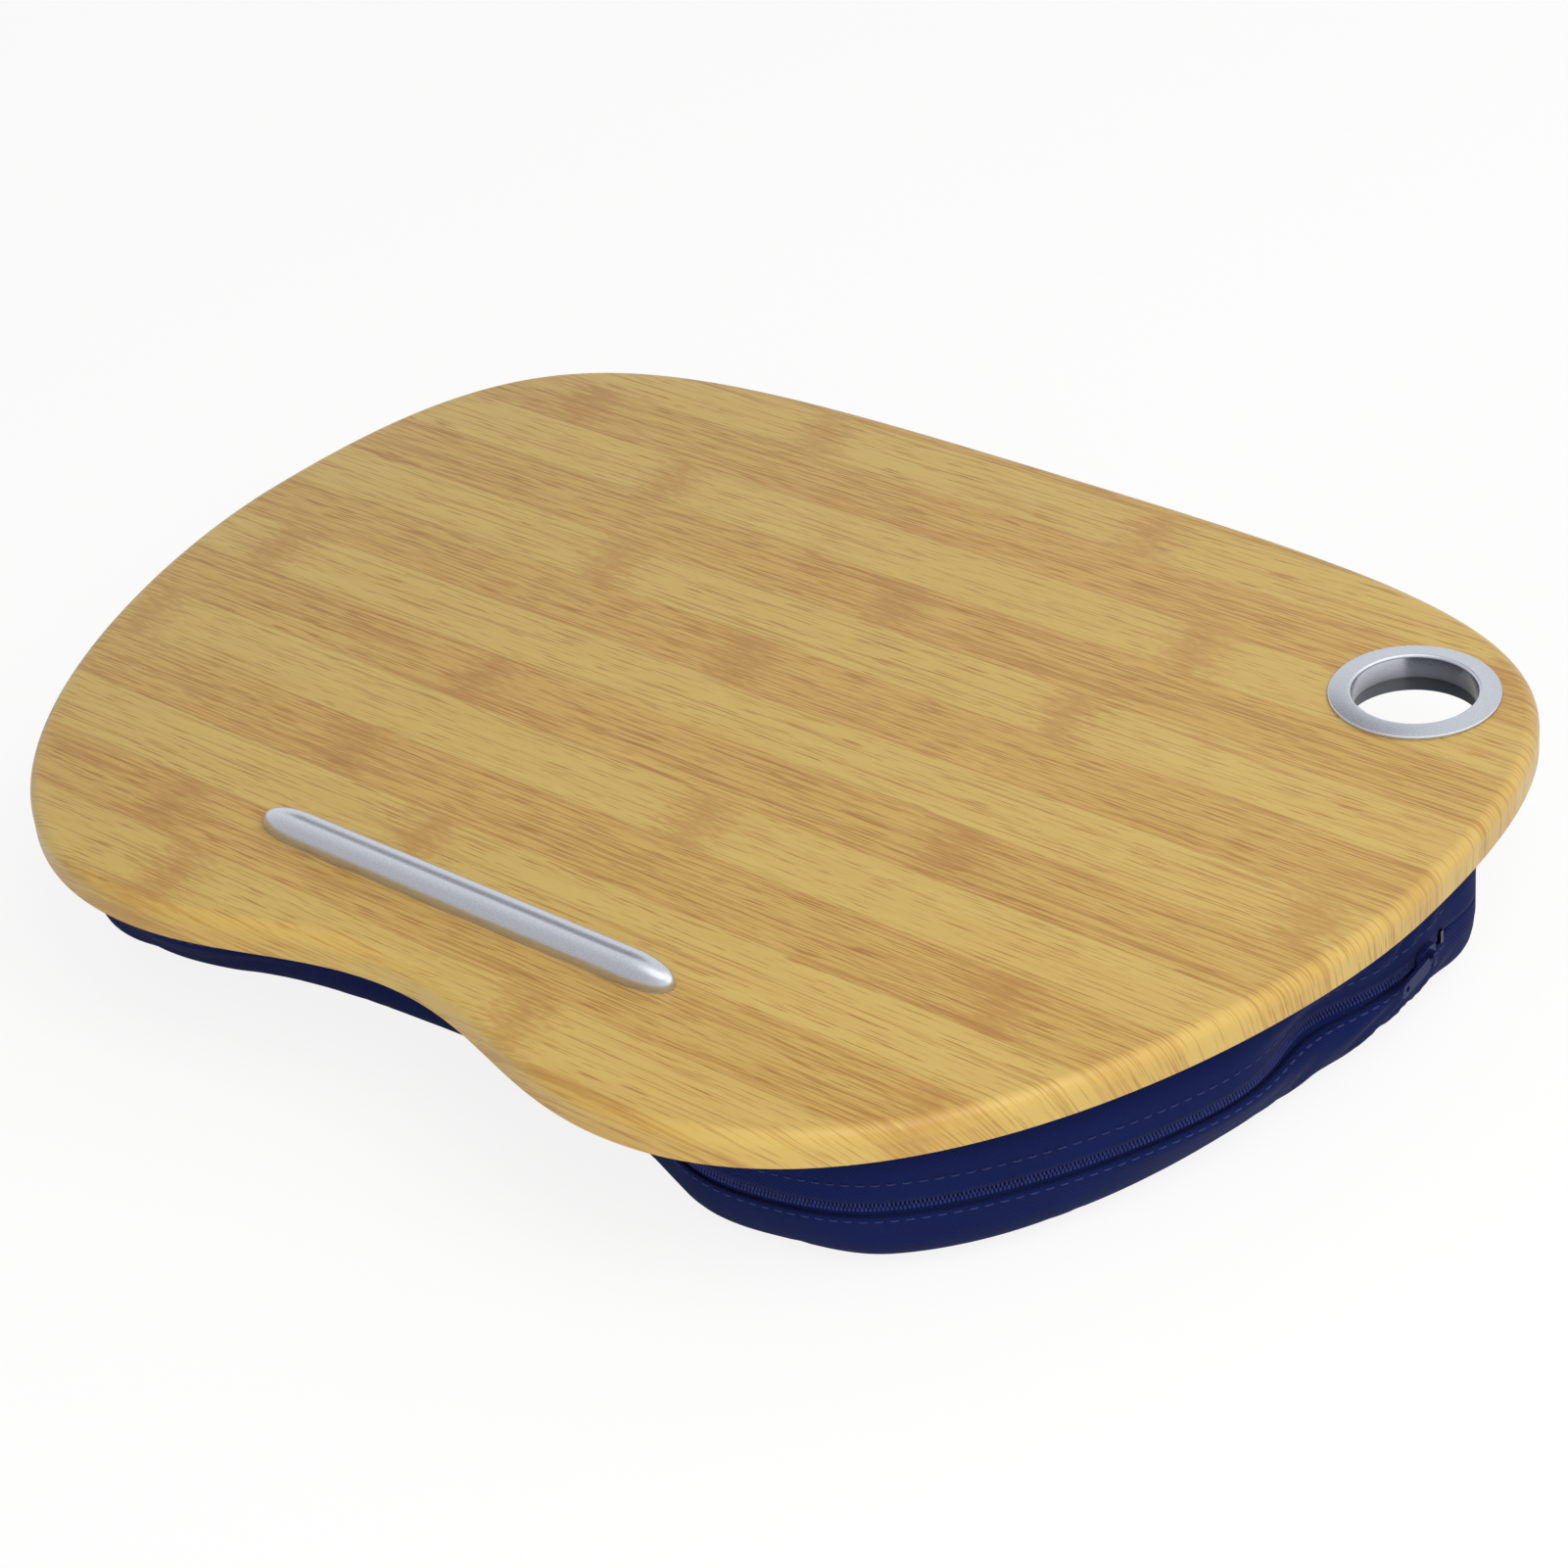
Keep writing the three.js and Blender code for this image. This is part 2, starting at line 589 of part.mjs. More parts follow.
// Hook and loop pads
const padX = BOARD_WIDTH / 2 - PAD_FROM_SIDE;
const padBackY = cushionBack - PAD_FROM_BACK;
const padFrontY = cushionFront + PAD_FROM_FRONT;
const padPlaces = {
  back_left: [-padX, padBackY],
  back_right: [padX, padBackY],
  front_left: [-padX, padFrontY],
  front_right: [padX, padFrontY],
};
for (const [place, [x, y]] of Object.entries(padPlaces)) {
  const loopZ = CUSHION_HEIGHT + LOOP_THICKNESS / 2;
  const hookZ = boardBottom - HOOK_THICKNESS / 2;
  addMesh("loop_pad_" + place, box(PAD_LENGTH, PAD_WIDTH, LOOP_THICKNESS, x, y, loopZ), navy);
  addMesh("hook_pad_" + place, box(PAD_LENGTH, PAD_WIDTH, HOOK_THICKNESS, x, y, hookZ), black);
}

// A strip that follows the zip, with a section of [inset, height] points
function alongZip(section) {
  const rings = zipPath.map((q) =>
    section.map(([inset, z]) => new THREE.Vector3(q.x - inset * q.nx, q.y - inset * q.ny, z)),
  );
  return loft(rings);
}
const coilInset = tapeOut - COIL_CLEARANCE - COIL_RADIUS;
for (const [name, direction] of [["upper", 1], ["lower", -1]]) {
  const near = zipZ + direction * ZIP_TAPE_PARTING;
  const far = zipZ + direction * ZIP_TAPE_WIDTH;
  const tape = [
    [tapeOut, near],
    [tapeOut, far],
    [tapeOut + ZIP_TAPE_THICKNESS, far],
    [tapeOut + ZIP_TAPE_THICKNESS, near],
  ];
  addMesh("zip_tape_" + name, alongZip(tape), navy);
  const coilZ = zipZ + direction * (COIL_RADIUS + 0.05);
  const coil = [];
  for (let i = 0; i < 6; i++) {
    const a = (Math.PI * i) / 3;
    coil.push([coilInset + COIL_RADIUS * Math.sin(a), coilZ + COIL_RADIUS * Math.cos(a)]);
  }
  addMesh("zip_coil_" + name, alongZip(coil), navy);
}

// Places a piece that was drawn flat on the zip: X along the zip, Y outwards, Z up.
function onZip(geometry, x, y, direction) {
  const turn = new THREE.Matrix4().makeRotationZ(direction - Math.PI / 2);
  turn.setPosition(x, y, zipZ);
  return geometry.applyMatrix4(turn);
}
function onSideArc(geometry, turn) {
  const x = sideCentreX + CUSHION_SIDE_RADIUS * Math.cos(turn);
  const y = widestY + CUSHION_SIDE_RADIUS * Math.sin(turn);
  return onZip(geometry, x, y, turn);
}

// Slider: front plate, two cheeks beside the coil, and two ears that hold the pull's pin
const coilHalf = 2 * COIL_RADIUS + 0.05;
const cheekZ = coilHalf + 0.4 + SLIDER_CHEEK / 2;
const plateY = SLIDER_CLEARANCE + SLIDER_PLATE / 2;
const plateFace = SLIDER_CLEARANCE + SLIDER_PLATE;
const pinY = plateFace + PULL_KNUCKLE_RADIUS + 0.3;
const earZ = PULL_KNUCKLE_LENGTH / 2 + PULL_EAR_CLEARANCE + PULL_EAR / 2;
const shoulder = SLIDER_WIDTH / 2;
const mouth = shoulder - SLIDER_TAPER;
const sliderOutline = rounded([
  [-SLIDER_LENGTH / 2, -mouth, SLIDER_ROUND],
  [-SLIDER_SHOULDER, -shoulder, SLIDER_ROUND],
  [SLIDER_LENGTH / 2, -shoulder, SLIDER_ROUND],
  [SLIDER_LENGTH / 2, shoulder, SLIDER_ROUND],
  [-SLIDER_SHOULDER, shoulder, SLIDER_ROUND],
  [-SLIDER_LENGTH / 2, mouth, SLIDER_ROUND],
]);
function upright(radius, length, y) {
  const ring = (z) => circleAt(0, y, radius, z, 24);
  return loft([ring(-length / 2), ring(length / 2)]);
}
const cheekIn = -(tapeOut - 0.3);
const cheekDepth = plateY - cheekIn;
const earDepth = pinY + 1 - plateY;
const pinLength = 2 * (earZ + PULL_EAR / 2) - 0.2;
const slider = join([
  flatPiece(sliderOutline, SLIDER_PLATE, SLIDER_CLEARANCE),
  box(SLIDER_LENGTH - 1, cheekDepth, SLIDER_CHEEK, 0, cheekIn + cheekDepth / 2, cheekZ),
  box(SLIDER_LENGTH - 1, cheekDepth, SLIDER_CHEEK, 0, cheekIn + cheekDepth / 2, -cheekZ),
  box(2.6, earDepth, PULL_EAR, 0, plateY + earDepth / 2, earZ),
  box(2.6, earDepth, PULL_EAR, 0, plateY + earDepth / 2, -earZ),
  upright(PULL_PIN_RADIUS, pinLength, pinY),
]);
addMesh("zip_slider", onSideArc(slider, sliderTurn), steel);

// Pull: a knuckle on the slider's pin and a flat tab that lies along the zip
const tabFrom = PULL_EAR + 2.4;
const halfTab = PULL_WIDTH / 2;
const pullOutline = rounded(
  [
    [tabFrom, -halfTab, PULL_SHOULDER_ROUND],
    [PULL_LENGTH, -halfTab, PULL_END_ROUND],
    [PULL_LENGTH, halfTab, PULL_END_ROUND],
    [tabFrom, halfTab, PULL_SHOULDER_ROUND],
  ],
  5,
);
const pullEye = new THREE.Path().absarc(PULL_LENGTH - PULL_EYE_FROM_END, 0, PULL_EYE_RADIUS, 0, 2 * Math.PI);
const pull = cut(
  join([
    upright(PULL_KNUCKLE_RADIUS, PULL_KNUCKLE_LENGTH, pinY),
    box(tabFrom + 0.5, PULL_THICKNESS, PULL_KNUCKLE_LENGTH, (tabFrom + 0.5) / 2, pinY, 0),
    flatPiece(pullOutline, PULL_THICKNESS, pinY - PULL_THICKNESS / 2, [pullEye]),
  ]),
  [upright(PULL_PIN_RADIUS + PULL_PIN_CLEARANCE, PULL_KNUCKLE_LENGTH + 2, pinY)],
);
addMesh("zip_pull", onSideArc(pull, sliderTurn), steel);

// Stops: a clip folded over both coils at each end of the zip
function stopClip() {
  const face = -(coilInset - COIL_RADIUS) + 0.3;
  const legZ = coilHalf + 0.3 + STOP_PLATE / 2;
  const legDepth = face - cheekIn + STOP_PLATE;
  const legY = cheekIn + legDepth / 2;
  return join([
    box(STOP_LENGTH, STOP_PLATE, 2 * legZ + STOP_PLATE, 0, face + STOP_PLATE / 2, 0),
    box(STOP_LENGTH, legDepth, STOP_PLATE, 0, legY, legZ),
    box(STOP_LENGTH, legDepth, STOP_PLATE, 0, legY, -legZ),
  ]);
}
const stopBack = STOP_LENGTH / 2 + STOP_FROM_END;
addMesh("zip_stop_side", onSideArc(stopClip(), zipEnd - stopBack / CUSHION_SIDE_RADIUS), steel);
const lastTurn = Math.PI - lobeTurn - stopBack / CUSHION_LOBE_RADIUS;
const stopX = -lobeX + CUSHION_LOBE_RADIUS * Math.cos(lastTurn);
const stopY = lobeY + CUSHION_LOBE_RADIUS * Math.sin(lastTurn);
addMesh("zip_stop_front", onZip(stopClip(), stopX, stopY, lastTurn), steel);

export default group;
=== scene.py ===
"""Laptop bed tray: a bamboo-print board with a cable ring and a stop bar, on a zipped bead cushion."""
import math

import bmesh
import bpy
import numpy as np
from bpy.props import FloatProperty, PointerProperty, StringProperty
from mathutils import Matrix, Vector


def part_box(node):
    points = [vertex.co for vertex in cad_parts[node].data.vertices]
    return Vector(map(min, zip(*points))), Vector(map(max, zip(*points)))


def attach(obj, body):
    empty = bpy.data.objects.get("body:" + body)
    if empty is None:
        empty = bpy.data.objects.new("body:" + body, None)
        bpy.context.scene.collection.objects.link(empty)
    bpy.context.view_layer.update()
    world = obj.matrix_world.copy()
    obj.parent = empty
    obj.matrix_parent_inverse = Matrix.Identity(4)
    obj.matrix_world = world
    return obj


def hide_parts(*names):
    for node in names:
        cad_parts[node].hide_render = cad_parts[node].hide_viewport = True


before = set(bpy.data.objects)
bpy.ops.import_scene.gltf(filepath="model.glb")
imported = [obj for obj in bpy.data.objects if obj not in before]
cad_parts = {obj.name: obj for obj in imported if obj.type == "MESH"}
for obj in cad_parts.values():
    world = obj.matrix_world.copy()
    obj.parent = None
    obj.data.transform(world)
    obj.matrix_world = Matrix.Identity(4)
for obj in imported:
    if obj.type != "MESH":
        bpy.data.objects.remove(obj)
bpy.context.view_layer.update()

bl_info = {
    "name": "Laptop bed tray",
    "version": (1, 0, 0),
    "blender": (4, 5, 0),
    "location": "View3D > Sidebar > Tray",
    "description": "Builds a laptop bed tray with a bamboo-print board and a zipped bead cushion",
    "category": "Object",
}

MM = 0.001

# The bamboo print in millimetres: strip width, where one strip starts, the span that node marks are coded in,
# and each strip's first node mark with the distance to its next
STRIP_WIDTH = 28.6
STRIP_FROM = 12.5
MARK_SPAN = 600
NODE_MARKS = (
    (-95, 152), (-125, 318), (-37, 400), (-97, 276), (-225, 260), (-87, 204), (-217, 452),
    (-17, 400), (-101, 202), (7, 400), (-121, 236), (-189, 400), (-95, 152), (20, 300),
)

# What shiny surfaces mirror: pale walls, and by direction the dark gap behind on the left, the dim front, and
# the light boxes on the right and overhead, each as the cosines where it starts and is full, and what it adds
MIRRORED_WALLS = 0.95
MIRRORED = (
    ((-0.561, 0.46, 0.69), 0.965, 0.99, -0.6),
    ((-0.45, -0.85, 0.25), 0.4, 0.95, -0.3),
    ((0.77, 0.4, 0.5), 0.6, 0.95, 0.6),
    ((0.2, -0.2, 0.96), 0.82, 0.95, 0.65),
)

# The floor lies this far under the cushion, so that the two faces do not meet
FLOOR_GAP = 0.2 * MM

# Rings of each flat panel of the cover, as shares of its outline, and the point that they close in on
PANEL_SHARES = (0.0, 0.3, 0.6, 0.85)
PANEL_ROWS = len(PANEL_SHARES)
PANEL_MIDDLE = np.array([0.0, -30 * MM])
COVER_COLUMNS = 480

# The cloth simulation: filling pressure, weight of a point, spare cloth as a share, steps, the most that a
# point may move, and how much of the band's edge is left free
SWELL_PRESSURE = 40
SWELL_WEIGHT = 0.004
SWELL_SPARE = 0.001
SWELL_FRAMES = 20
SWELL_MOST = 3 * MM
SWELL_FREE = 1 * MM


# Small tools

def linear(code):
    """Linear RGBA of an sRGB hex colour."""
    rgb = np.array([int(code[i:i + 2], 16) for i in (1, 3, 5)]) / 255.0
    low = rgb / 12.92
    high = ((rgb + 0.055) / 1.055) ** 2.4
    return (*np.where(rgb <= 0.04045, low, high).tolist(), 1.0)


def feed(tree, node, sockets):
    """Sets a node's inputs, each to a value or to the output that feeds it."""
    for key, value in sockets.items():
        if isinstance(value, bpy.types.NodeSocket):
            tree.links.new(value, node.inputs[key])
        else:
            node.inputs[key].default_value = value


def add(tree, kind, sockets=None, **settings):
    """Adds one node with its settings and with what feeds its inputs."""
    node = tree.nodes.new(kind)
    for key, value in settings.items():
        setattr(node, key, value)
    feed(tree, node, sockets or {})
    return node


def tones(tree, level, code, *stops):
    """A colour by level: two (place, share) stops, each the colour with that share of its light."""
    ramp = add(tree, "ShaderNodeValToRGB", {0: level})
    red, green, blue, _ = linear(code)
    for element, (place, part) in zip(ramp.color_ramp.elements, stops):
        element.position = place
        element.color = (red * part, green * part, blue * part, 1)
    return ramp.outputs[0]


def new_material(name):
    """An empty material with its output and shader, and the two of them joined."""
    material = bpy.data.materials.new(name)
    material.use_nodes = True
    tree = material.node_tree
    tree.nodes.clear()
    shader = add(tree, "ShaderNodeBsdfPrincipled")
    add(tree, "ShaderNodeOutputMaterial", {"Surface": shader.outputs[0]})
    return material, tree, shader


def grid_faces(rows, columns, wrap_rows=False, wrap_columns=True):
    """The quads over a grid of points, as point numbers counted along its rows."""
    r = np.arange(rows if wrap_rows else rows - 1)
    c = np.arange(columns if wrap_columns else columns - 1)
    r, c = np.meshgrid(r, c, indexing="ij")
    r2, c2 = (r + 1) % rows, (c + 1) % columns
    quads = np.stack([r * columns + c, r * columns + c2, r2 * columns + c2, r2 * columns + c], -1)
    return quads.reshape(-1, 4)


def surface(name, points, wrap_rows=False, wrap_columns=True, coords=None, sharp=None):
    """A mesh over a grid of points, rows by columns, each cell a quad, with the poles welded."""
    faces = grid_faces(*points.shape[:2], wrap_rows, wrap_columns)
    return mesh_object(name, points.reshape(-1, 3), faces, coords, sharp)


def repeated(name, points):
    """One object of many copies of a small closed grid: points are copies by rows by columns."""
    copies, rows, columns = points.shape[:3]
    faces = grid_faces(rows, columns)[None] + (np.arange(copies) * rows * columns)[:, None, None]
    return mesh_object(name, points.reshape(-1, 3), faces.reshape(-1, 4))


def mesh_object(name, points, faces, coords=None, sharp=None):
    """An object at the origin with equal-sided faces, welded, facing outwards and shaded smooth."""
    mesh = bpy.data.meshes.new(name)
    sides = faces.shape[1]
    mesh.vertices.add(len(points))
    mesh.vertices.foreach_set("co", np.ascontiguousarray(points, dtype=np.float32).ravel())
    mesh.loops.add(faces.size)
    mesh.loops.foreach_set("vertex_index", faces.astype(np.int32).ravel())
    mesh.polygons.add(len(faces))
    mesh.polygons.foreach_set("loop_start", np.arange(0, faces.size, sides, dtype=np.int32))
    if coords is not None:
        layer = mesh.attributes.new("lay", "FLOAT_VECTOR", "POINT")
        layer.data.foreach_set("vector", np.ascontiguousarray(coords, dtype=np.float32).ravel())
    mesh.update(calc_edges=True)
    weld(mesh)
    mesh.shade_smooth()
    if sharp is not None:
        mesh.set_sharp_from_angle(angle=math.radians(sharp))
    obj = bpy.data.objects.new(name, mesh)
    bpy.context.scene.collection.objects.link(obj)
    return obj


def weld(mesh):
    """Merges doubles, drops empty faces and turns the faces outwards."""
    bm = bmesh.new()
    bm.from_mesh(mesh)
    bmesh.ops.remove_doubles(bm, verts=bm.verts, dist=2e-6)
    bmesh.ops.dissolve_degenerate(bm, edges=bm.edges, dist=1e-7)
    bmesh.ops.recalc_face_normals(bm, faces=bm.faces)
    bm.to_mesh(mesh)
    bm.free()
    mesh.update()


def finish_piece(obj, material, body, slot, *nodes):
    """Gives a piece its material and body, and hides the CAD nodes that it stands for; its slot is not used.
    """
    obj.data.materials.clear()
    obj.data.materials.append(material)
    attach(obj, body)
    if nodes:
        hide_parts(*nodes)


def dress_node(node, material):
    """Gives a CAD node that stays a better material."""
    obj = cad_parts[node]
    obj.data.materials.clear()
    obj.data.materials.append(material)


def fillet(corners, steps=8):
    """A profile of (a, b, radius) corners with each corner rounded by an arc that touches both its sides."""
    points = []
    count = len(corners)
    for i, (a, b, radius) in enumerate(corners):
        here = np.array([a, b], float)
        if radius <= 0:
            points.append(here[None])
            continue
        before = np.array(corners[i - 1][:2], float) - here
        after = np.array(corners[(i + 1) % count][:2], float) - here
        before /= np.linalg.norm(before)
        after /= np.linalg.norm(after)
        half = math.acos(np.clip(before @ after, -1, 1)) / 2
        back = radius / math.tan(half)
        middle = here + (before + after) / np.linalg.norm(before + after) * radius / math.sin(half)
        start = here + before * back - middle
        turn = math.pi - 2 * half
        if before[0] * after[1] - before[1] * after[0] > 0:
            turn = -turn
        angle = turn * np.linspace(0, 1, steps)
        cos, sin = np.cos(angle), np.sin(angle)
        turned = np.stack([cos * start[0] - sin * start[1], sin * start[0] + cos * start[1]], -1)
        points.append(middle + turned)
    return np.concatenate(points)


def revolve(profile, centre, steps):
    """A grid of a closed (radius, height) profile carried round an upright axis."""
    angle = np.linspace(0, 2 * np.pi, steps, endpoint=False)
    radius, height = profile[:, :1], profile[:, 1:]
    x = centre[0] + radius * np.cos(angle)
    y = centre[1] + radius * np.sin(angle)
    return np.stack([x, y, np.broadcast_to(height, x.shape)], -1)


def smooth_step(value):
    """0 below 0, 1 above 1, and an even S between."""
    t = np.clip(value, 0, 1)
    return t * t * (3 - 2 * t)


# Sizes and colours

BOARD_LOW, BOARD_HIGH = (np.array(v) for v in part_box("bamboo_foil"))
RING_LOW, RING_HIGH = (np.array(v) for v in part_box("ring_bezel"))
BAR_LOW, BAR_HIGH = (np.array(v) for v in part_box("stop_bar"))
COVER_HIGH = np.array(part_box("cover_lower")[1])
COVER_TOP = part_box("cover_upper")[1][2]


def length(label, text, value):
    """A length property in metres."""
    return FloatProperty(name=label, description=text, default=float(value), unit="LENGTH", precision=4)


def share(label, text, value):
    """A plain factor property."""
    return FloatProperty(name=label, description=text, default=value, min=0.0, max=1.0)


def hex_colour(label, text, value):
    """A colour property, as an sRGB hex code."""
    return StringProperty(name=label, description=text, default=value)


class TrayBoardSizes(bpy.types.PropertyGroup):
    """Sizes of the board and its foil."""
    width: length("Width", "Board width across the widest place", BOARD_HIGH[0] - BOARD_LOW[0])
    depth: length("Depth", "Board depth from the lobes to the back edge", BOARD_HIGH[1] - BOARD_LOW[1])
    bottom: length("Underside", "Height of the board's underside", BOARD_LOW[2])
    top: length("Top", "Height of the board's top", BOARD_HIGH[2])
    roll: length("Edge roll", "Radius of the rolled top edge", 5 * MM)
    foil: length("Foil", "Thickness of the printed foil", 0.4 * MM)
    widest: length("Widest place", "Distance of the widest place in front of the back edge", 162.5 * MM)
    lobe: length("Lobe", "Distance of each front lobe from the middle", 104 * MM)
    notch: length("Notch", "Depth of the belly notch", 21 * MM)
    hole: length("Hole radius", "Radius of the drilled hole", 25 * MM)


class TrayRingSizes(bpy.types.PropertyGroup):
    """Sizes of the two-part cable ring."""
    flange: length("Flange radius", "Outer radius of the bezel's flange", 29 * MM)
    edge: length("Flange edge", "Height of the flange at its rim", 1.3 * MM)
    rise: length("Rise", "Height of the flange's face at the bore, before its lip is rounded", 2.2 * MM)
    lip: length("Lip", "Radius of the lip into the bore", 1.1 * MM)
    bore: length("Bore radius", "Clear radius through the bezel", 21.1 * MM)
    wall: length("Wall", "Wall of the bezel's barrel", 1.7 * MM)
    reach: length("Reach", "How far the bezel's barrel reaches into the board", 6.7 * MM)
    collar_bore: length("Collar bore radius", "Inner radius of the lower half", 23.05 * MM)
    collar_flange: length("Collar flange", "Thickness of the lower half's flange", 1.3 * MM)


class TrayBarSizes(bpy.types.PropertyGroup):
    """Sizes of the stop bar."""
    tip: length("Tip", "Length of each bullet end", 18 * MM)
    crown: share("Crown", "How square the bar's section is, 1 for a half ellipse", 0.92)


class TrayCushionSizes(bpy.types.PropertyGroup):
    """Sizes of the cushion and its zip."""
    side: length("Side radius", "Radius of the long side arc", 260 * MM)
    corner: length("Corner radius", "Radius of the back corners", 25 * MM)
    lobe: length("Lobe radius", "Radius of the front lobes", 63 * MM)
    notch: length("Notch", "Depth of the belly notch", 32 * MM)
    roll: length("Roll", "How far the wall turns in at the top and bottom", 20 * MM)
    band: length("Band", "Half height of the upright band that holds the zip", 12 * MM)
    above: length("Opening above", "Height of the zip opening above its coil", 1.6 * MM)
    below: length("Opening below", "Height of the zip opening below its coil", 4.2 * MM)
    front_in: length("Front set-back", "How far the lobes lie behind the board's", 28 * MM)
    side_in: length("Side set-back", "How far the sides lie inside the board's", 12 * MM)
    cloth: length("Cloth", "Thickness of the cover's cloth", 1.2 * MM)
    bag_in: length("Bag inset", "How far the bead bag lies inside the cover's face", 3 * MM)
    zip_from_corner: length("Zip end", "Distance of the zip's end from the back corner", 10.4 * MM)
    zip_fade: length("Opening fade", "Length over which the zip opening closes at each end", 14 * MM)
    tape_in: length("Tape inset", "How far the zip's tapes lie behind the wall", 1.4 * MM)
    tape_thick: length("Tape thickness", "Thickness of a zip tape", 0.7 * MM)
    tape_width: length("Tape width", "Width of a zip tape", 10.2 * MM)
    tape_gap: length("Tape gap", "Distance of each tape's edge from the middle of the zip", 0.3 * MM)
    coil_in: length("Coil inset", "How far the middle of the coil lies behind the wall", 0.45 * MM)
    coil_above: length("Coil offset", "Distance of each coil row from the middle of the zip", 0.85 * MM)
    thread: length("Thread", "Radius of a topstitch", 0.3 * MM)
    stitch_above: length("Upper stitches", "Height of the upper topstitches above the zip", 8.6 * MM)
    stitch_in: length("Lower stitches", "Distance of the lower topstitches from the opening", 1.3 * MM)
    stitch: length("Stitch", "Length of one topstitch", 3.3 * MM)
    stitch_pitch: length("Stitch pitch", "Distance from one topstitch to the next", 4.9 * MM)
    tooth_pitch: length("Tooth pitch", "Distance from one coil turn to the next", 1.35 * MM)


class TrayColours(bpy.types.PropertyGroup):
    """Colours of the finishes, as sRGB hex codes."""
    print_pale: hex_colour("Print, pale", "Pale strips of the bamboo print", "#C5A85C")
    print_warm: hex_colour("Print, warm", "Warm strips of the bamboo print", "#BB934A")
    print_dark: hex_colour("Print, dark", "Fibres of the bamboo print", "#996A2B")
    print_mark: hex_colour("Print, mark", "Node marks of the bamboo print", "#A67637")
    print_edge: hex_colour("Print, edge", "Tone of the print on the rolled edge", "#CCAA54")
    silver: hex_colour("Silver", "Silver paint", "#D2D6DF")
    # Painted shade: the grey that the silver darkens to low in the ring's bore, in the collar and at the foot
    # of the stop bar
    plastic: hex_colour("Plastic", "Grey plastic under the silver paint", "#4E5157")
    navy: hex_colour("Navy", "Cushion cloth", "#101B49")
    thread: hex_colour("Thread", "Topstitch thread", "#19255E")
    steel: hex_colour("Steel", "Zinc-plated steel", "#B9BBBE")
    panel: hex_colour("Panel", "Raw fibreboard", "#B69268")
    bag: hex_colour("Bag", "Bead bag cloth", "#E4E1D9")


# Finishes

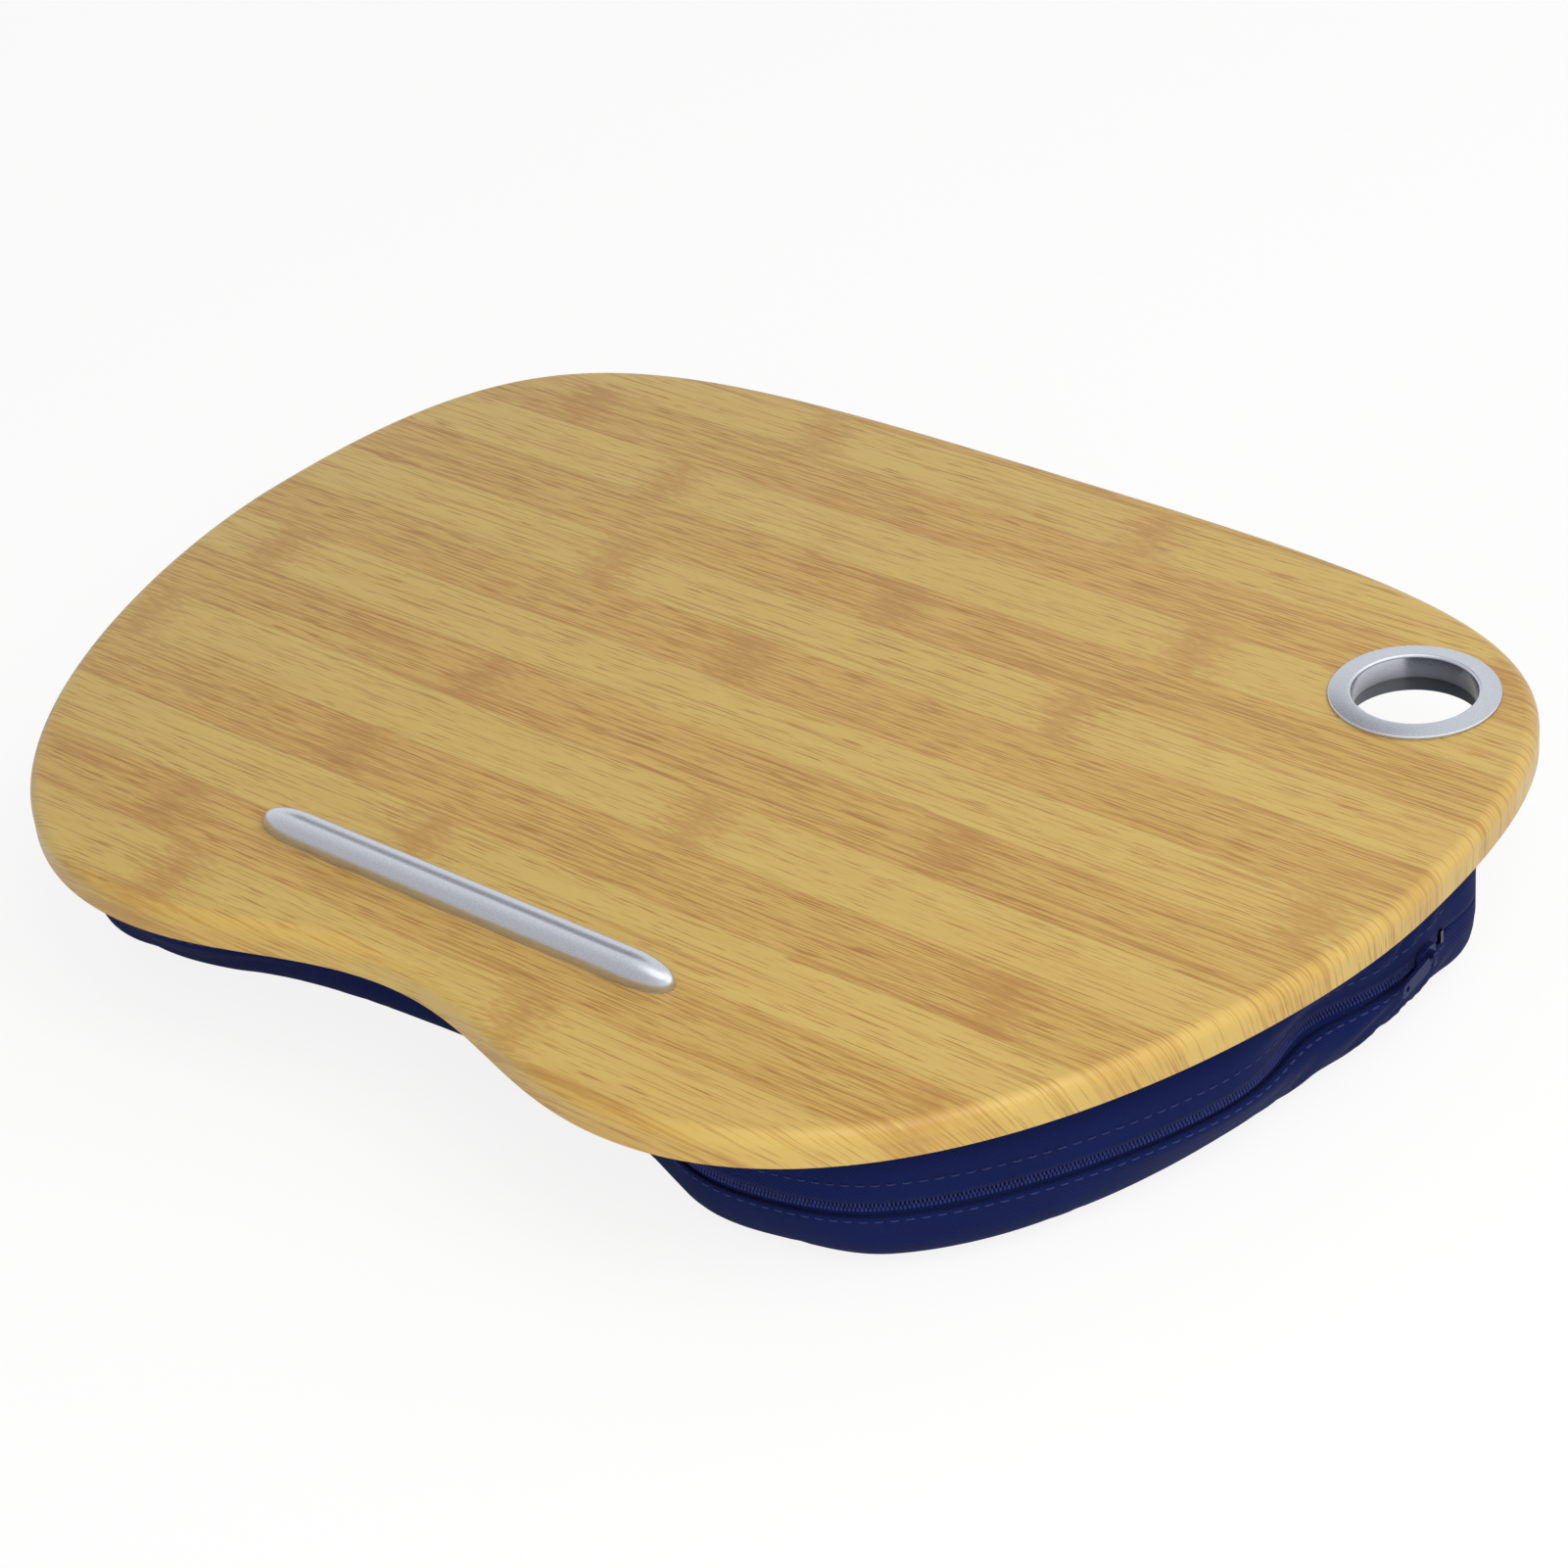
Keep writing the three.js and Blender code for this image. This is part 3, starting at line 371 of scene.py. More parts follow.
def bamboo_foil():
    """Printed PVC foil over fibreboard, pressed smooth: a satin skin with a printed bamboo figure.

    The print runs along X: pale and warm strips in turn, fine fibres, and node marks across each strip.
    """
    colours = bpy.context.scene.tray_colours
    material, tree, shader = new_material("bamboo_print_pvc_foil")
    lay = add(tree, "ShaderNodeAttribute", attribute_name="lay")
    mm = add(tree, "ShaderNodeVectorMath", {0: lay.outputs["Vector"], 1: (1 / MM, 1 / MM, 1)},
             operation="MULTIPLY")
    x, y, bent = add(tree, "ShaderNodeSeparateXYZ", {0: mm.outputs[0]}).outputs
    place = add(tree, "ShaderNodeMath", {0: y, 1: 1 / STRIP_WIDTH, 2: -STRIP_FROM / STRIP_WIDTH},
                operation="MULTIPLY_ADD")
    number = add(tree, "ShaderNodeMath", {0: place.outputs[0]}, operation="FLOOR")
    shift = add(tree, "ShaderNodeMath", {0: number.outputs[0], 1: 3.7}, operation="MULTIPLY")
    seed = add(tree, "ShaderNodeCombineXYZ", {"Z": shift.outputs[0]})
    values = {"x": x, "bent": bent, "place": place.outputs[0], "number": number.outputs[0]}
    # Each figure is noise drawn out to a length along the strip and a width across it, in millimetres, and is
    # new in every strip
    for name, along, wide, detail in (
        ("streaks", 110, 5.5, 2),
        ("fibres", 70, 1.1, 1),
        ("dashes", 17, 0.6, 1),
        ("flecks", 6, 0.9, 1),
    ):
        stretch = (1 / along, 1 / wide, 0)
        spread = add(tree, "ShaderNodeVectorMath", {0: mm.outputs[0], 1: stretch, 2: seed.outputs[0]},
                     operation="MULTIPLY_ADD")
        noise = add(tree, "ShaderNodeTexNoise", {"Vector": spread.outputs[0], "Scale": 1.0, "Detail": detail})
        values[name] = noise.outputs[0]
    # A lookup by strip gives its first node mark and the distance to the next, as shares of MARK_SPAN
    count = len(NODE_MARKS)
    row = add(tree, "ShaderNodeMath", {0: number.outputs[0], 1: 1 / count, 2: 0.5 + 0.5 / count},
              operation="MULTIPLY_ADD")
    table = add(tree, "ShaderNodeValToRGB", {0: row.outputs[0]})
    table.color_ramp.interpolation = "CONSTANT"
    elements = table.color_ramp.elements
    while len(elements) < count:
        elements.new(1.0)
    for i, (first, apart) in enumerate(NODE_MARKS):
        elements[i].position = i / count
        elements[i].color = (first / MARK_SPAN + 0.5, apart / MARK_SPAN, 0, 1)
    found = add(tree, "ShaderNodeSeparateColor", {0: table.outputs[0]})
    values["first_share"], values["apart_share"] = found.outputs[:2]
    # Sums in turn, each a name, its operation and its inputs: strips with odd numbers are pale, and a mark
    # slants 7 mm across its strip and is ragged by its flecks
    for name, operation, *inputs in (
        ("pale", "FLOORED_MODULO", "number", 2.0),
        ("ground", "MULTIPLY_ADD", "pale", -0.62, 0.95),
        ("warm", "MULTIPLY_ADD", "streaks", 1.5, "ground"),
        ("long", "MULTIPLY_ADD", "pale", -0.05, "fibres"),
        ("short", "MULTIPLY_ADD", "pale", -0.05, "dashes"),
        ("across", "FRACT", "place"),
        ("off_middle", "SUBTRACT", "across", 0.5),
        ("joint", "ABSOLUTE", "off_middle"),
        ("first", "MULTIPLY_ADD", "first_share", MARK_SPAN, -MARK_SPAN / 2),
        ("apart", "MULTIPLY", "apart_share", MARK_SPAN),
        ("from_first", "SUBTRACT", "x", "first"),
        ("slanted", "MULTIPLY_ADD", "off_middle", 7.0, "from_first"),
        ("turns", "DIVIDE", "slanted", "apart"),
        ("whole", "ROUND", "turns"),
        ("rest", "SUBTRACT", "turns", "whole"),
        ("off", "MULTIPLY", "rest", "apart"),
        ("away", "ABSOLUTE", "off"),
        ("ragged", "MULTIPLY_ADD", "flecks", 40.0, "away"),
    ):
        sockets = {i: values.get(value, value) for i, value in enumerate(inputs)}
        values[name] = add(tree, "ShaderNodeMath", sockets, operation=operation).outputs[0]
    # Laid over the pale ground in turn; on the rolled edge the tone is drawn towards the edge tone, and half
    # as far on the wall below it
    tone = linear(colours.print_pale)
    for name, low, high, most, code in (
        ("warm", 0.75, 1.85, 0.75, colours.print_warm),
        ("long", 0.52, 0.67, 0.6, colours.print_dark),
        ("short", 0.53, 0.65, 0.85, colours.print_dark),
        ("joint", 0.475, 0.5, 0.4, colours.print_dark),
        ("ragged", 35.0, 20.0, 0.6, colours.print_mark),
        ("bent", 0.0, 1.0, 0.4, colours.print_edge),
    ):
        part = add(tree, "ShaderNodeMapRange", {"Value": values[name], "From Min": low, "From Max": high,
                                                "To Max": most})
        mixed = add(tree, "ShaderNodeMix", {0: part.outputs[0], 6: tone, 7: linear(code)}, data_type="RGBA")
        tone = mixed.outputs[2]
    gloss = add(tree, "ShaderNodeMapRange", {"Value": values["dashes"], "To Min": 0.28, "To Max": 0.38})
    pores = add(tree, "ShaderNodeBump", {"Strength": 0.06, "Distance": 0.2 * MM, "Height": values["dashes"]},
                invert=True)
    feed(tree, shader, {"Base Color": tone, "Roughness": gloss.outputs[0], "Normal": pores.outputs[0]})
    return material


def silver_paint():
    """Satin silver paint on moulded ABS: fine flakes that scatter a broad, cool highlight."""
    colours = bpy.context.scene.tray_colours
    material, tree, shader = new_material("silver_painted_abs")
    place = add(tree, "ShaderNodeTexCoord").outputs["Object"]
    # Flakes of about 0.15 mm, drawn at 0.5 mm so that they show
    flakes = add(tree, "ShaderNodeTexNoise", {"Vector": place, "Scale": 1 / (0.5 * MM), "Detail": 1.0})
    tone = tones(tree, flakes.outputs[0], colours.silver, (0.3, 0.88), (0.7, 1.0))
    # The spray thins out down the ring's bore, so the paint mirrors less there; the darkening to a grey lower
    # down, in the bore, the collar and at the foot of the stop bar, is painted shade in the recess
    height = add(tree, "ShaderNodeSeparateXYZ", {0: place}).outputs["Z"]
    full_shade_height = float(RING_LOW[2]) - 2 * MM
    full = float(RING_HIGH[2])
    reach = add(tree, "ShaderNodeMapRange", {"Value": height, "From Min": full_shade_height, "From Max": full})
    # Painted shade: the silver gives way to the grey lower down
    paint = add(tree, "ShaderNodeMix", {0: reach.outputs[0], 6: linear(colours.plastic), 7: tone},
                data_type="RGBA")
    gloss = add(tree, "ShaderNodeMapRange", {"Value": flakes.outputs[0], "To Min": 0.17, "To Max": 0.3})
    bright = add(tree, "ShaderNodeMapRange", {"Value": reach.outputs[0], "To Min": 0.2})
    feed(tree, shader, {"Base Color": paint.outputs[2], "Roughness": gloss.outputs[0],
                        "Metallic": bright.outputs[0]})
    return material


def navy_twill(name, code, pitch):
    """Polyester twill, piece-dyed: diagonal ribs, a soft sheen at grazing angles and no gloss."""
    material, tree, shader = new_material(name)
    lay = add(tree, "ShaderNodeAttribute", attribute_name="lay").outputs["Vector"]
    # Ribs run at 45 degrees; the real 0.5 mm pitch is drawn at the given pitch so that it shows
    turned = add(tree, "ShaderNodeMapping", {"Vector": lay, "Rotation": (0, 0, math.radians(45)),
                                             "Scale": (1 / pitch, 1 / pitch, 1 / pitch)})
    ribs = add(tree, "ShaderNodeTexWave", {"Vector": turned.outputs[0], "Scale": 1 / math.pi,
                                           "Distortion": 0.6, "Detail": 1.0},
               wave_type="BANDS", bands_direction="X")
    # Dye clouds of about 26 mm
    place = add(tree, "ShaderNodeTexCoord").outputs["Object"]
    cloud = add(tree, "ShaderNodeTexNoise", {"Vector": place, "Scale": 38.0, "Detail": 3.0})
    rib_part = add(tree, "ShaderNodeMath", {0: ribs.outputs[1], 1: 0.45, 2: 0.1}, operation="MULTIPLY_ADD")
    level = add(tree, "ShaderNodeMath", {0: cloud.outputs[0], 1: 0.45, 2: rib_part.outputs[0]},
                operation="MULTIPLY_ADD")
    tone = tones(tree, level.outputs[0], code, (0.15, 0.7), (0.85, 1.25))
    weave = add(tree, "ShaderNodeBump", {"Strength": 0.25, "Distance": 0.2 * MM, "Height": ribs.outputs[1]})
    feed(tree, shader, {"Base Color": tone, "Normal": weave.outputs[0], "Roughness": 0.85,
                        "Specular IOR Level": 0.08, "Sheen Weight": 0.03, "Sheen Roughness": 0.4})
    return material


def speckled(name, code, grain, dark, gloss, metallic=0.0, specular=0.5):
    """A smooth finish whose noise of the given grain darkens it to a share and moves its gloss."""
    material, tree, shader = new_material(name)
    place = add(tree, "ShaderNodeTexCoord").outputs["Object"]
    specks = add(tree, "ShaderNodeTexNoise", {"Vector": place, "Scale": 1 / grain, "Detail": 2.0})
    tone = tones(tree, specks.outputs[0], code, (0.3, dark), (0.7, 1.0))
    rough = add(tree, "ShaderNodeMapRange", {"Value": specks.outputs[0], "To Min": gloss[0],
                                             "To Max": gloss[1]})
    feed(tree, shader, {"Base Color": tone, "Roughness": rough.outputs[0], "Metallic": metallic,
                        "Specular IOR Level": specular})
    return material


def coil_finish():
    """Nylon zip coil, extruded and dyed: smooth, with a small highlight on each turn."""
    return speckled("nylon_zip_coil", "#202C6A", 2 * MM, 0.55, (0.57, 0.63), specular=0.25)


def plated_steel(name, code):
    """Zinc-plated steel, tumbled: bright and slightly uneven."""
    return speckled(name, code, 2.4 * MM, 0.85, (0.22, 0.42), metallic=1.0)


def navy_enamel():
    """Navy stoving enamel on die-cast zinc: smooth, with a slightly uneven gloss."""
    return speckled("navy_enamelled_zinc", "#151E4E", 2.9 * MM, 0.68, (0.45, 0.6), specular=0.2)


def thread_finish():
    """Polyester sewing thread, twisted: a little brighter than the cloth."""
    material, tree, shader = new_material("polyester_thread")
    place = add(tree, "ShaderNodeTexCoord").outputs["Object"]
    ply = add(tree, "ShaderNodeTexWave", {"Vector": place, "Scale": 900.0, "Distortion": 0.5},
              bands_direction="DIAGONAL")
    tone = tones(tree, ply.outputs[1], bpy.context.scene.tray_colours.thread, (0.0, 0.76), (1.0, 1.0))
    feed(tree, shader, {"Base Color": tone, "Roughness": 0.6})
    return material


def fibreboard():
    """Raw fibreboard, sanded: pressed wood fibres in short flecks of about 1.4 mm."""
    material, tree, shader = new_material("sanded_fibreboard")
    place = add(tree, "ShaderNodeTexCoord").outputs["Object"]
    flecks = add(tree, "ShaderNodeTexNoise", {"Vector": place, "Scale": 700.0, "Detail": 4.0,
                                              "Roughness": 0.7})
    tone = tones(tree, flecks.outputs[0], bpy.context.scene.tray_colours.panel, (0.3, 0.7), (0.7, 1.0))
    fuzz = add(tree, "ShaderNodeBump", {"Strength": 0.15, "Distance": 0.2 * MM, "Height": flecks.outputs[0]})
    feed(tree, shader, {"Base Color": tone, "Normal": fuzz.outputs[0], "Roughness": 0.9})
    return material


def pile_tape(name, code):
    """Hook or loop tape: a dense, matt nylon pile with tufts about 1.1 mm apart."""
    material, tree, shader = new_material(name)
    place = add(tree, "ShaderNodeTexCoord").outputs["Object"]
    pile = add(tree, "ShaderNodeTexVoronoi", {"Vector": place, "Scale": 900.0}).outputs["Distance"]
    tone = tones(tree, pile, code, (0.1, 1.0), (0.9, 0.5))
    nap = add(tree, "ShaderNodeBump", {"Strength": 0.5, "Distance": 0.4 * MM, "Height": pile}, invert=True)
    feed(tree, shader, {"Base Color": tone, "Normal": nap.outputs[0], "Roughness": 0.95})
    return material


# Outlines

def even_outline(points, count):
    """A closed outline resampled at even steps, with its outward normals; it runs clockwise from above."""
    closed = np.concatenate([points, points[:1]])
    step = np.linalg.norm(np.diff(closed, axis=0), axis=1)
    run = np.concatenate([[0], np.cumsum(step)])
    at = np.linspace(0, run[-1], count, endpoint=False)
    p = np.stack([np.interp(at, run, closed[:, k]) for k in (0, 1)], -1)
    tangent = np.roll(p, -1, 0) - np.roll(p, 1, 0)
    tangent /= np.linalg.norm(tangent, axis=1)[:, None]
    return p, np.stack([-tangent[:, 1], tangent[:, 0]], -1)


def board_outline(count):
    """The kidney outline: three cubic curves a side through the back, the side, the lobe and the notch.

    The factors set how far each curve keeps its direction at its two ends.
    """
    size = bpy.context.scene.tray_board
    half_w, half_d = size.width / 2, size.depth / 2
    widest = half_d - size.widest
    back, side = np.array([0, half_d]), np.array([half_w, widest])
    lobe, notch = np.array([size.lobe, -half_d]), np.array([0, -half_d + size.notch])
    side_up = (half_w, widest + 0.98 * (half_d - widest))
    side_down = (half_w, widest - 0.33 * (half_d + widest))
    lobe_out = (size.lobe + 0.69 * (half_w - size.lobe), -half_d)
    curves = [
        (back, (0.75 * half_w, half_d), side_up, side),
        (side, side_down, lobe_out, lobe),
        (lobe, (0.62 * size.lobe, -half_d), (0.37 * size.lobe, notch[1]), notch),
    ]
    t = np.linspace(0, 1, 600)[:, None]
    weights = ((1 - t) ** 3, 3 * (1 - t) ** 2 * t, 3 * (1 - t) * t ** 2, t ** 3)
    pieces = [sum(w * np.array(p) for w, p in zip(weights, curve))[:-1] for curve in curves]
    right = np.concatenate(pieces + [notch[None]])
    left = right[1:-1][::-1] * np.array([-1, 1])
    return even_outline(np.concatenate([right, left]), count)


class CushionLine:
    """The cushion's outline at its fullest, as a point for each length run from the back middle by the right.

    Five tangent pieces a side: straight back, corner arc, side arc, lobe arc and hollow notch arc.
    """

    def __init__(self):
        size, board = bpy.context.scene.tray_cushion, bpy.context.scene.tray_board
        self.back = float(COVER_HIGH[1])
        self.side_r, self.corner_r, self.lobe_r = size.side, size.corner, size.lobe
        front = -board.depth / 2 + size.front_in
        self.side_y = board.depth / 2 - board.widest
        self.side_x = board.width / 2 - size.side_in - self.side_r
        self.corner_y = self.back - self.corner_r
        rise = self.corner_y - self.side_y
        self.corner_x = self.side_x + math.sqrt((self.side_r - self.corner_r) ** 2 - rise ** 2)
        self.corner_turn = math.atan2(rise, self.corner_x - self.side_x)
        self.lobe_y = front + self.lobe_r
        fall = self.lobe_y - self.side_y
        self.lobe_x = self.side_x + math.sqrt((self.side_r - self.lobe_r) ** 2 - fall ** 2)
        self.lobe_turn = math.atan2(fall, self.lobe_x - self.side_x)
        drop = size.notch
        self.notch_r = (self.lobe_x ** 2 - 2 * self.lobe_r * drop + drop ** 2) / (2 * drop)
        self.notch_y = front + drop - self.notch_r
        self.flank = math.atan2(self.notch_y - self.lobe_y, -self.lobe_x)
        runs = [
            self.corner_x,
            self.corner_r * (math.pi / 2 - self.corner_turn),
            self.side_r * (self.corner_turn - self.lobe_turn),
            self.lobe_r * (self.lobe_turn - self.flank),
            self.notch_r * (math.pi / 2 - (self.flank + math.pi)),
        ]
        self.ends = np.cumsum([0] + runs)
        self.half = float(self.ends[-1])
        self.total = 2 * self.half
        self.zip_start = self.at_side(self.corner_turn - size.zip_from_corner / self.side_r)
        self.zip_end = self.total - float(self.ends[3])
        self.zip_fade = size.zip_fade

    def at_side(self, angle):
        """Length run at a direction on the right side arc."""
        return float(self.ends[2] + self.side_r * (self.corner_turn - angle))

    def points(self, run):
        """Points and outward normals at the given lengths."""
        run = np.mod(run, self.total)
        left = run > self.half
        s = np.where(left, self.total - run, run)
        ends = self.ends
        corner = math.pi / 2 - (s - ends[1]) / self.corner_r
        side = self.corner_turn - (s - ends[2]) / self.side_r
        lobe = self.lobe_turn - (s - ends[3]) / self.lobe_r
        notch = self.flank + math.pi + (s - ends[4]) / self.notch_r
        where = [s < end for end in ends[1:5]]
        angle = np.select(where, [math.pi / 2, corner, side, lobe], notch)
        x = np.select(where, [s, self.corner_x, self.side_x, self.lobe_x], 0.0)
        y = np.select(where, [self.corner_y, self.corner_y, self.side_y, self.lobe_y], self.notch_y)
        radius = np.select(where, [self.corner_r, self.corner_r, self.side_r, self.lobe_r], self.notch_r)
        facing = np.where(where[3], 1.0, -1.0)
        mirror = np.where(left, -1.0, 1.0)
        out_x, out_y = np.cos(angle), np.sin(angle)
        points = np.stack([mirror * (x + radius * out_x), y + radius * out_y], -1)
        return points, np.stack([mirror * facing * out_x, facing * out_y], -1)

    def open_share(self, run):
        """1 where the zip lies, 0 where the two halves of the cover are sewn together."""
        inside = np.minimum(run - self.zip_start, self.zip_end - run)
        return smooth_step(inside / self.zip_fade + 0.5)


# Operators

class TRAY_OT_stage(bpy.types.Operator):
    """Sets the camera, the lights and the floor"""
    bl_idname = "tray.stage"
    bl_label = "Stage"

    def execute(self, context):
        scene = context.scene
        scene.view_settings.view_transform = "Standard"
        self.camera(scene)
        self.lamp("key_softbox", (0.95, -0.35, 1.2), (0.05, 0.0, 0.05), 1.1, 16)
        self.lamp("back_softbox", (0.35, 1.2, 1.1), (0.0, 0.0, 0.05), 1.2, 5)
        self.lamp("front_softbox", (0.5, -1.5, 0.45), (0.0, 0.0, 0.05), 1.0, 5)
        self.world(scene)
        self.floor()
        return {"FINISHED"}

    def camera(self, scene):
        """A long lens from the front right, turned a little about its axis as in the photograph."""
        turn, rise, roll = (math.radians(v) for v in (42.089, 33.134, -5.806))
        distance = 1.3724
        target = Vector((0.03334, -0.01349, BOARD_LOW[2]))
        back = Vector((math.sin(turn) * math.cos(rise), -math.cos(turn) * math.cos(rise), math.sin(rise)))
        right = Vector((math.cos(turn), math.sin(turn), 0))
        up = back.cross(right)
        cos, sin = math.cos(roll), math.sin(roll)
        right, up = cos * right + sin * up, cos * up - sin * right
        data = bpy.data.cameras.new("photo_camera")
        data.sensor_width = 36
        data.lens = 93.59
        data.clip_end = 50
        camera = bpy.data.objects.new("photo_camera", data)
        place = target + back * distance
        camera.matrix_world = Matrix((
            (right.x, up.x, back.x, place.x),
            (right.y, up.y, back.y, place.y),
            (right.z, up.z, back.z, place.z),
            (0, 0, 0, 1),
        ))
        scene.collection.objects.link(camera)
        scene.camera = camera

    def lamp(self, name, place, target, size, power):
        """A square soft box that faces a point."""
        data = bpy.data.lights.new(name, "AREA")
        data.size = size
        data.energy = power
        lamp = bpy.data.objects.new(name, data)
        lamp.location = place
        lamp.visible_glossy = False
        lamp.rotation_euler = (Vector(target) - Vector(place)).to_track_quat("-Z", "Y").to_euler()
        bpy.context.scene.collection.objects.link(lamp)

    def world(self, scene):
        """White to the camera, an even pale fill, and for shiny surfaces the walls and boxes of a studio."""
        world = bpy.data.worlds.new("studio")
        scene.world = world
        world.use_nodes = True
        tree = world.node_tree
        tree.nodes.clear()
        path = add(tree, "ShaderNodeLightPath").outputs
        towards = add(tree, "ShaderNodeTexCoord")
        shine = MIRRORED_WALLS
        for direction, start, full, gain in MIRRORED:
            facing = add(tree, "ShaderNodeVectorMath", {0: towards.outputs["Generated"], 1: direction},
                         operation="DOT_PRODUCT")
            part = add(tree, "ShaderNodeMapRange", {"Value": facing.outputs["Value"], "From Min": start,
                                                    "From Max": full, "To Max": gain})
            shine = add(tree, "ShaderNodeMath", {0: shine, 1: part.outputs[0]}).outputs[0]
        fill = add(tree, "ShaderNodeBackground", {"Color": (1, 1, 1, 1), "Strength": 0.45})
        mirrored = add(tree, "ShaderNodeBackground", {"Color": (1, 1, 1, 1), "Strength": shine})
        white = add(tree, "ShaderNodeBackground", {"Color": (1, 1, 1, 1), "Strength": 1.0})
        lit = add(tree, "ShaderNodeMixShader", {0: path["Is Glossy Ray"], 1: fill.outputs[0],
                                                2: mirrored.outputs[0]})
        seen = add(tree, "ShaderNodeMath", {0: path["Is Camera Ray"], 1: path["Is Transmission Ray"]},
                   operation="MAXIMUM")
        mixed = add(tree, "ShaderNodeMixShader", {0: seen.outputs[0], 1: lit.outputs[0], 2: white.outputs[0]})
        add(tree, "ShaderNodeOutputWorld", {"Surface": mixed.outputs[0]})

    def floor(self):
        """A wide flat sheet that shows white and keeps a soft shadow."""
        u = np.linspace(-4, 4, 9)
        x, y = np.meshgrid(u, u, indexing="xy")
        floor = surface("studio_floor", np.stack([x, y, np.full_like(x, -FLOOR_GAP)], -1), wrap_columns=False)
        material, tree, shader = new_material("matt_white_paper")
        feed(tree, shader, {"Base Color": linear("#F2F2F0"), "Roughness": 0.9})
        path = add(tree, "ShaderNodeLightPath").outputs
        seen = add(tree, "ShaderNodeMath", {0: path["Is Camera Ray"], 1: path["Is Transmission Ray"]},
                   operation="MAXIMUM")
        # Lifted to white for the camera, and a little for shiny surfaces; what is left keeps the shadow
        full = add(tree, "ShaderNodeMath", {0: seen.outputs[0], 1: 0.86}, operation="MULTIPLY")
        lift = add(tree, "ShaderNodeMath", {0: path["Is Glossy Ray"], 1: 0.1, 2: full.outputs[0]},
                   operation="MULTIPLY_ADD")
        glow = add(tree, "ShaderNodeEmission", {"Color": (1, 1, 1, 1), "Strength": 1.0})
        mixed = add(tree, "ShaderNodeMixShader", {0: lift.outputs[0], 1: shader.outputs[0],
                                                  2: glow.outputs[0]})
        output = next(n for n in tree.nodes if n.type == "OUTPUT_MATERIAL")
        feed(tree, output, {"Surface": mixed.outputs[0]})
        floor.data.materials.append(material)


class TRAY_OT_board(bpy.types.Operator):
    """Builds the printed foil over the panel"""
    bl_idname = "tray.board"
    bl_label = "Board"

    def execute(self, context):
        size = context.scene.tray_board
        edge, normal = board_outline(560)
        centre = (RING_LOW[:2] + RING_HIGH[:2]) / 2
        outer, outer_lay = self.skin(edge, normal, centre, 0.0, size)
        inner, inner_lay = self.skin(edge, normal, centre, size.foil, size)
        points = np.concatenate([outer, inner[::-1]])
        lay = np.concatenate([outer_lay, inner_lay[::-1]])
        foil = surface("bamboo_print_foil", points, wrap_rows=True, coords=lay.reshape(-1, 3), sharp=50)
        finish_piece(foil, bamboo_foil(), "tray", "foil", "bamboo_foil")
        dress_node("board_core", fibreboard())
        return {"FINISHED"}

    def skin(self, edge, normal, centre, depth, size):
        """Rows of the skin at a depth below the foil's face, from the hole over the rolled edge and down.

        The second grid is the flat print: each point's place before the foil was pressed over the edge.
        """
        roll = size.roll - depth
        top = size.top - depth
        flat = edge - normal * size.roll
        spoke = flat - centre
        rim = centre + spoke / np.linalg.norm(spoke, axis=1)[:, None] * size.hole
        across = np.array([0.0, 0.02, 0.3, 0.65, 0.9, 1.0])[:, None, None]
        plane = rim + (flat - rim) * across
        rows = [np.concatenate([plane, np.full((*plane.shape[:2], 1), top)], -1)]
        lays = [np.concatenate([plane, np.zeros((*plane.shape[:2], 1))], -1)]
        turn = np.linspace(0, np.pi / 2, 12)[1:, None, None]
        bend = flat + normal * roll * np.sin(turn)
        bend_z = np.broadcast_to(top - roll * (1 - np.cos(turn)), (*bend.shape[:2], 1))
        rows.append(np.concatenate([bend, bend_z], -1))
        bend_lay = flat + normal * size.roll * turn
        share_bent = np.broadcast_to(turn / (np.pi / 2), (*bend.shape[:2], 1))
        lays.append(np.concatenate([bend_lay, share_bent], -1))
        drop = np.linspace(0, top - roll - size.bottom, 5)[1:, None, None]
        wall = np.broadcast_to(flat + normal * roll, (len(drop), *flat.shape))
        wall_z = np.broadcast_to(top - roll - drop, (*wall.shape[:2], 1))
        rows.append(np.concatenate([wall, wall_z], -1))
        wall_lay = flat + normal * (size.roll * np.pi / 2 + drop)
        lays.append(np.concatenate([wall_lay, np.full((*wall.shape[:2], 1), 0.5)], -1))
        return np.concatenate(rows), np.concatenate(lays)


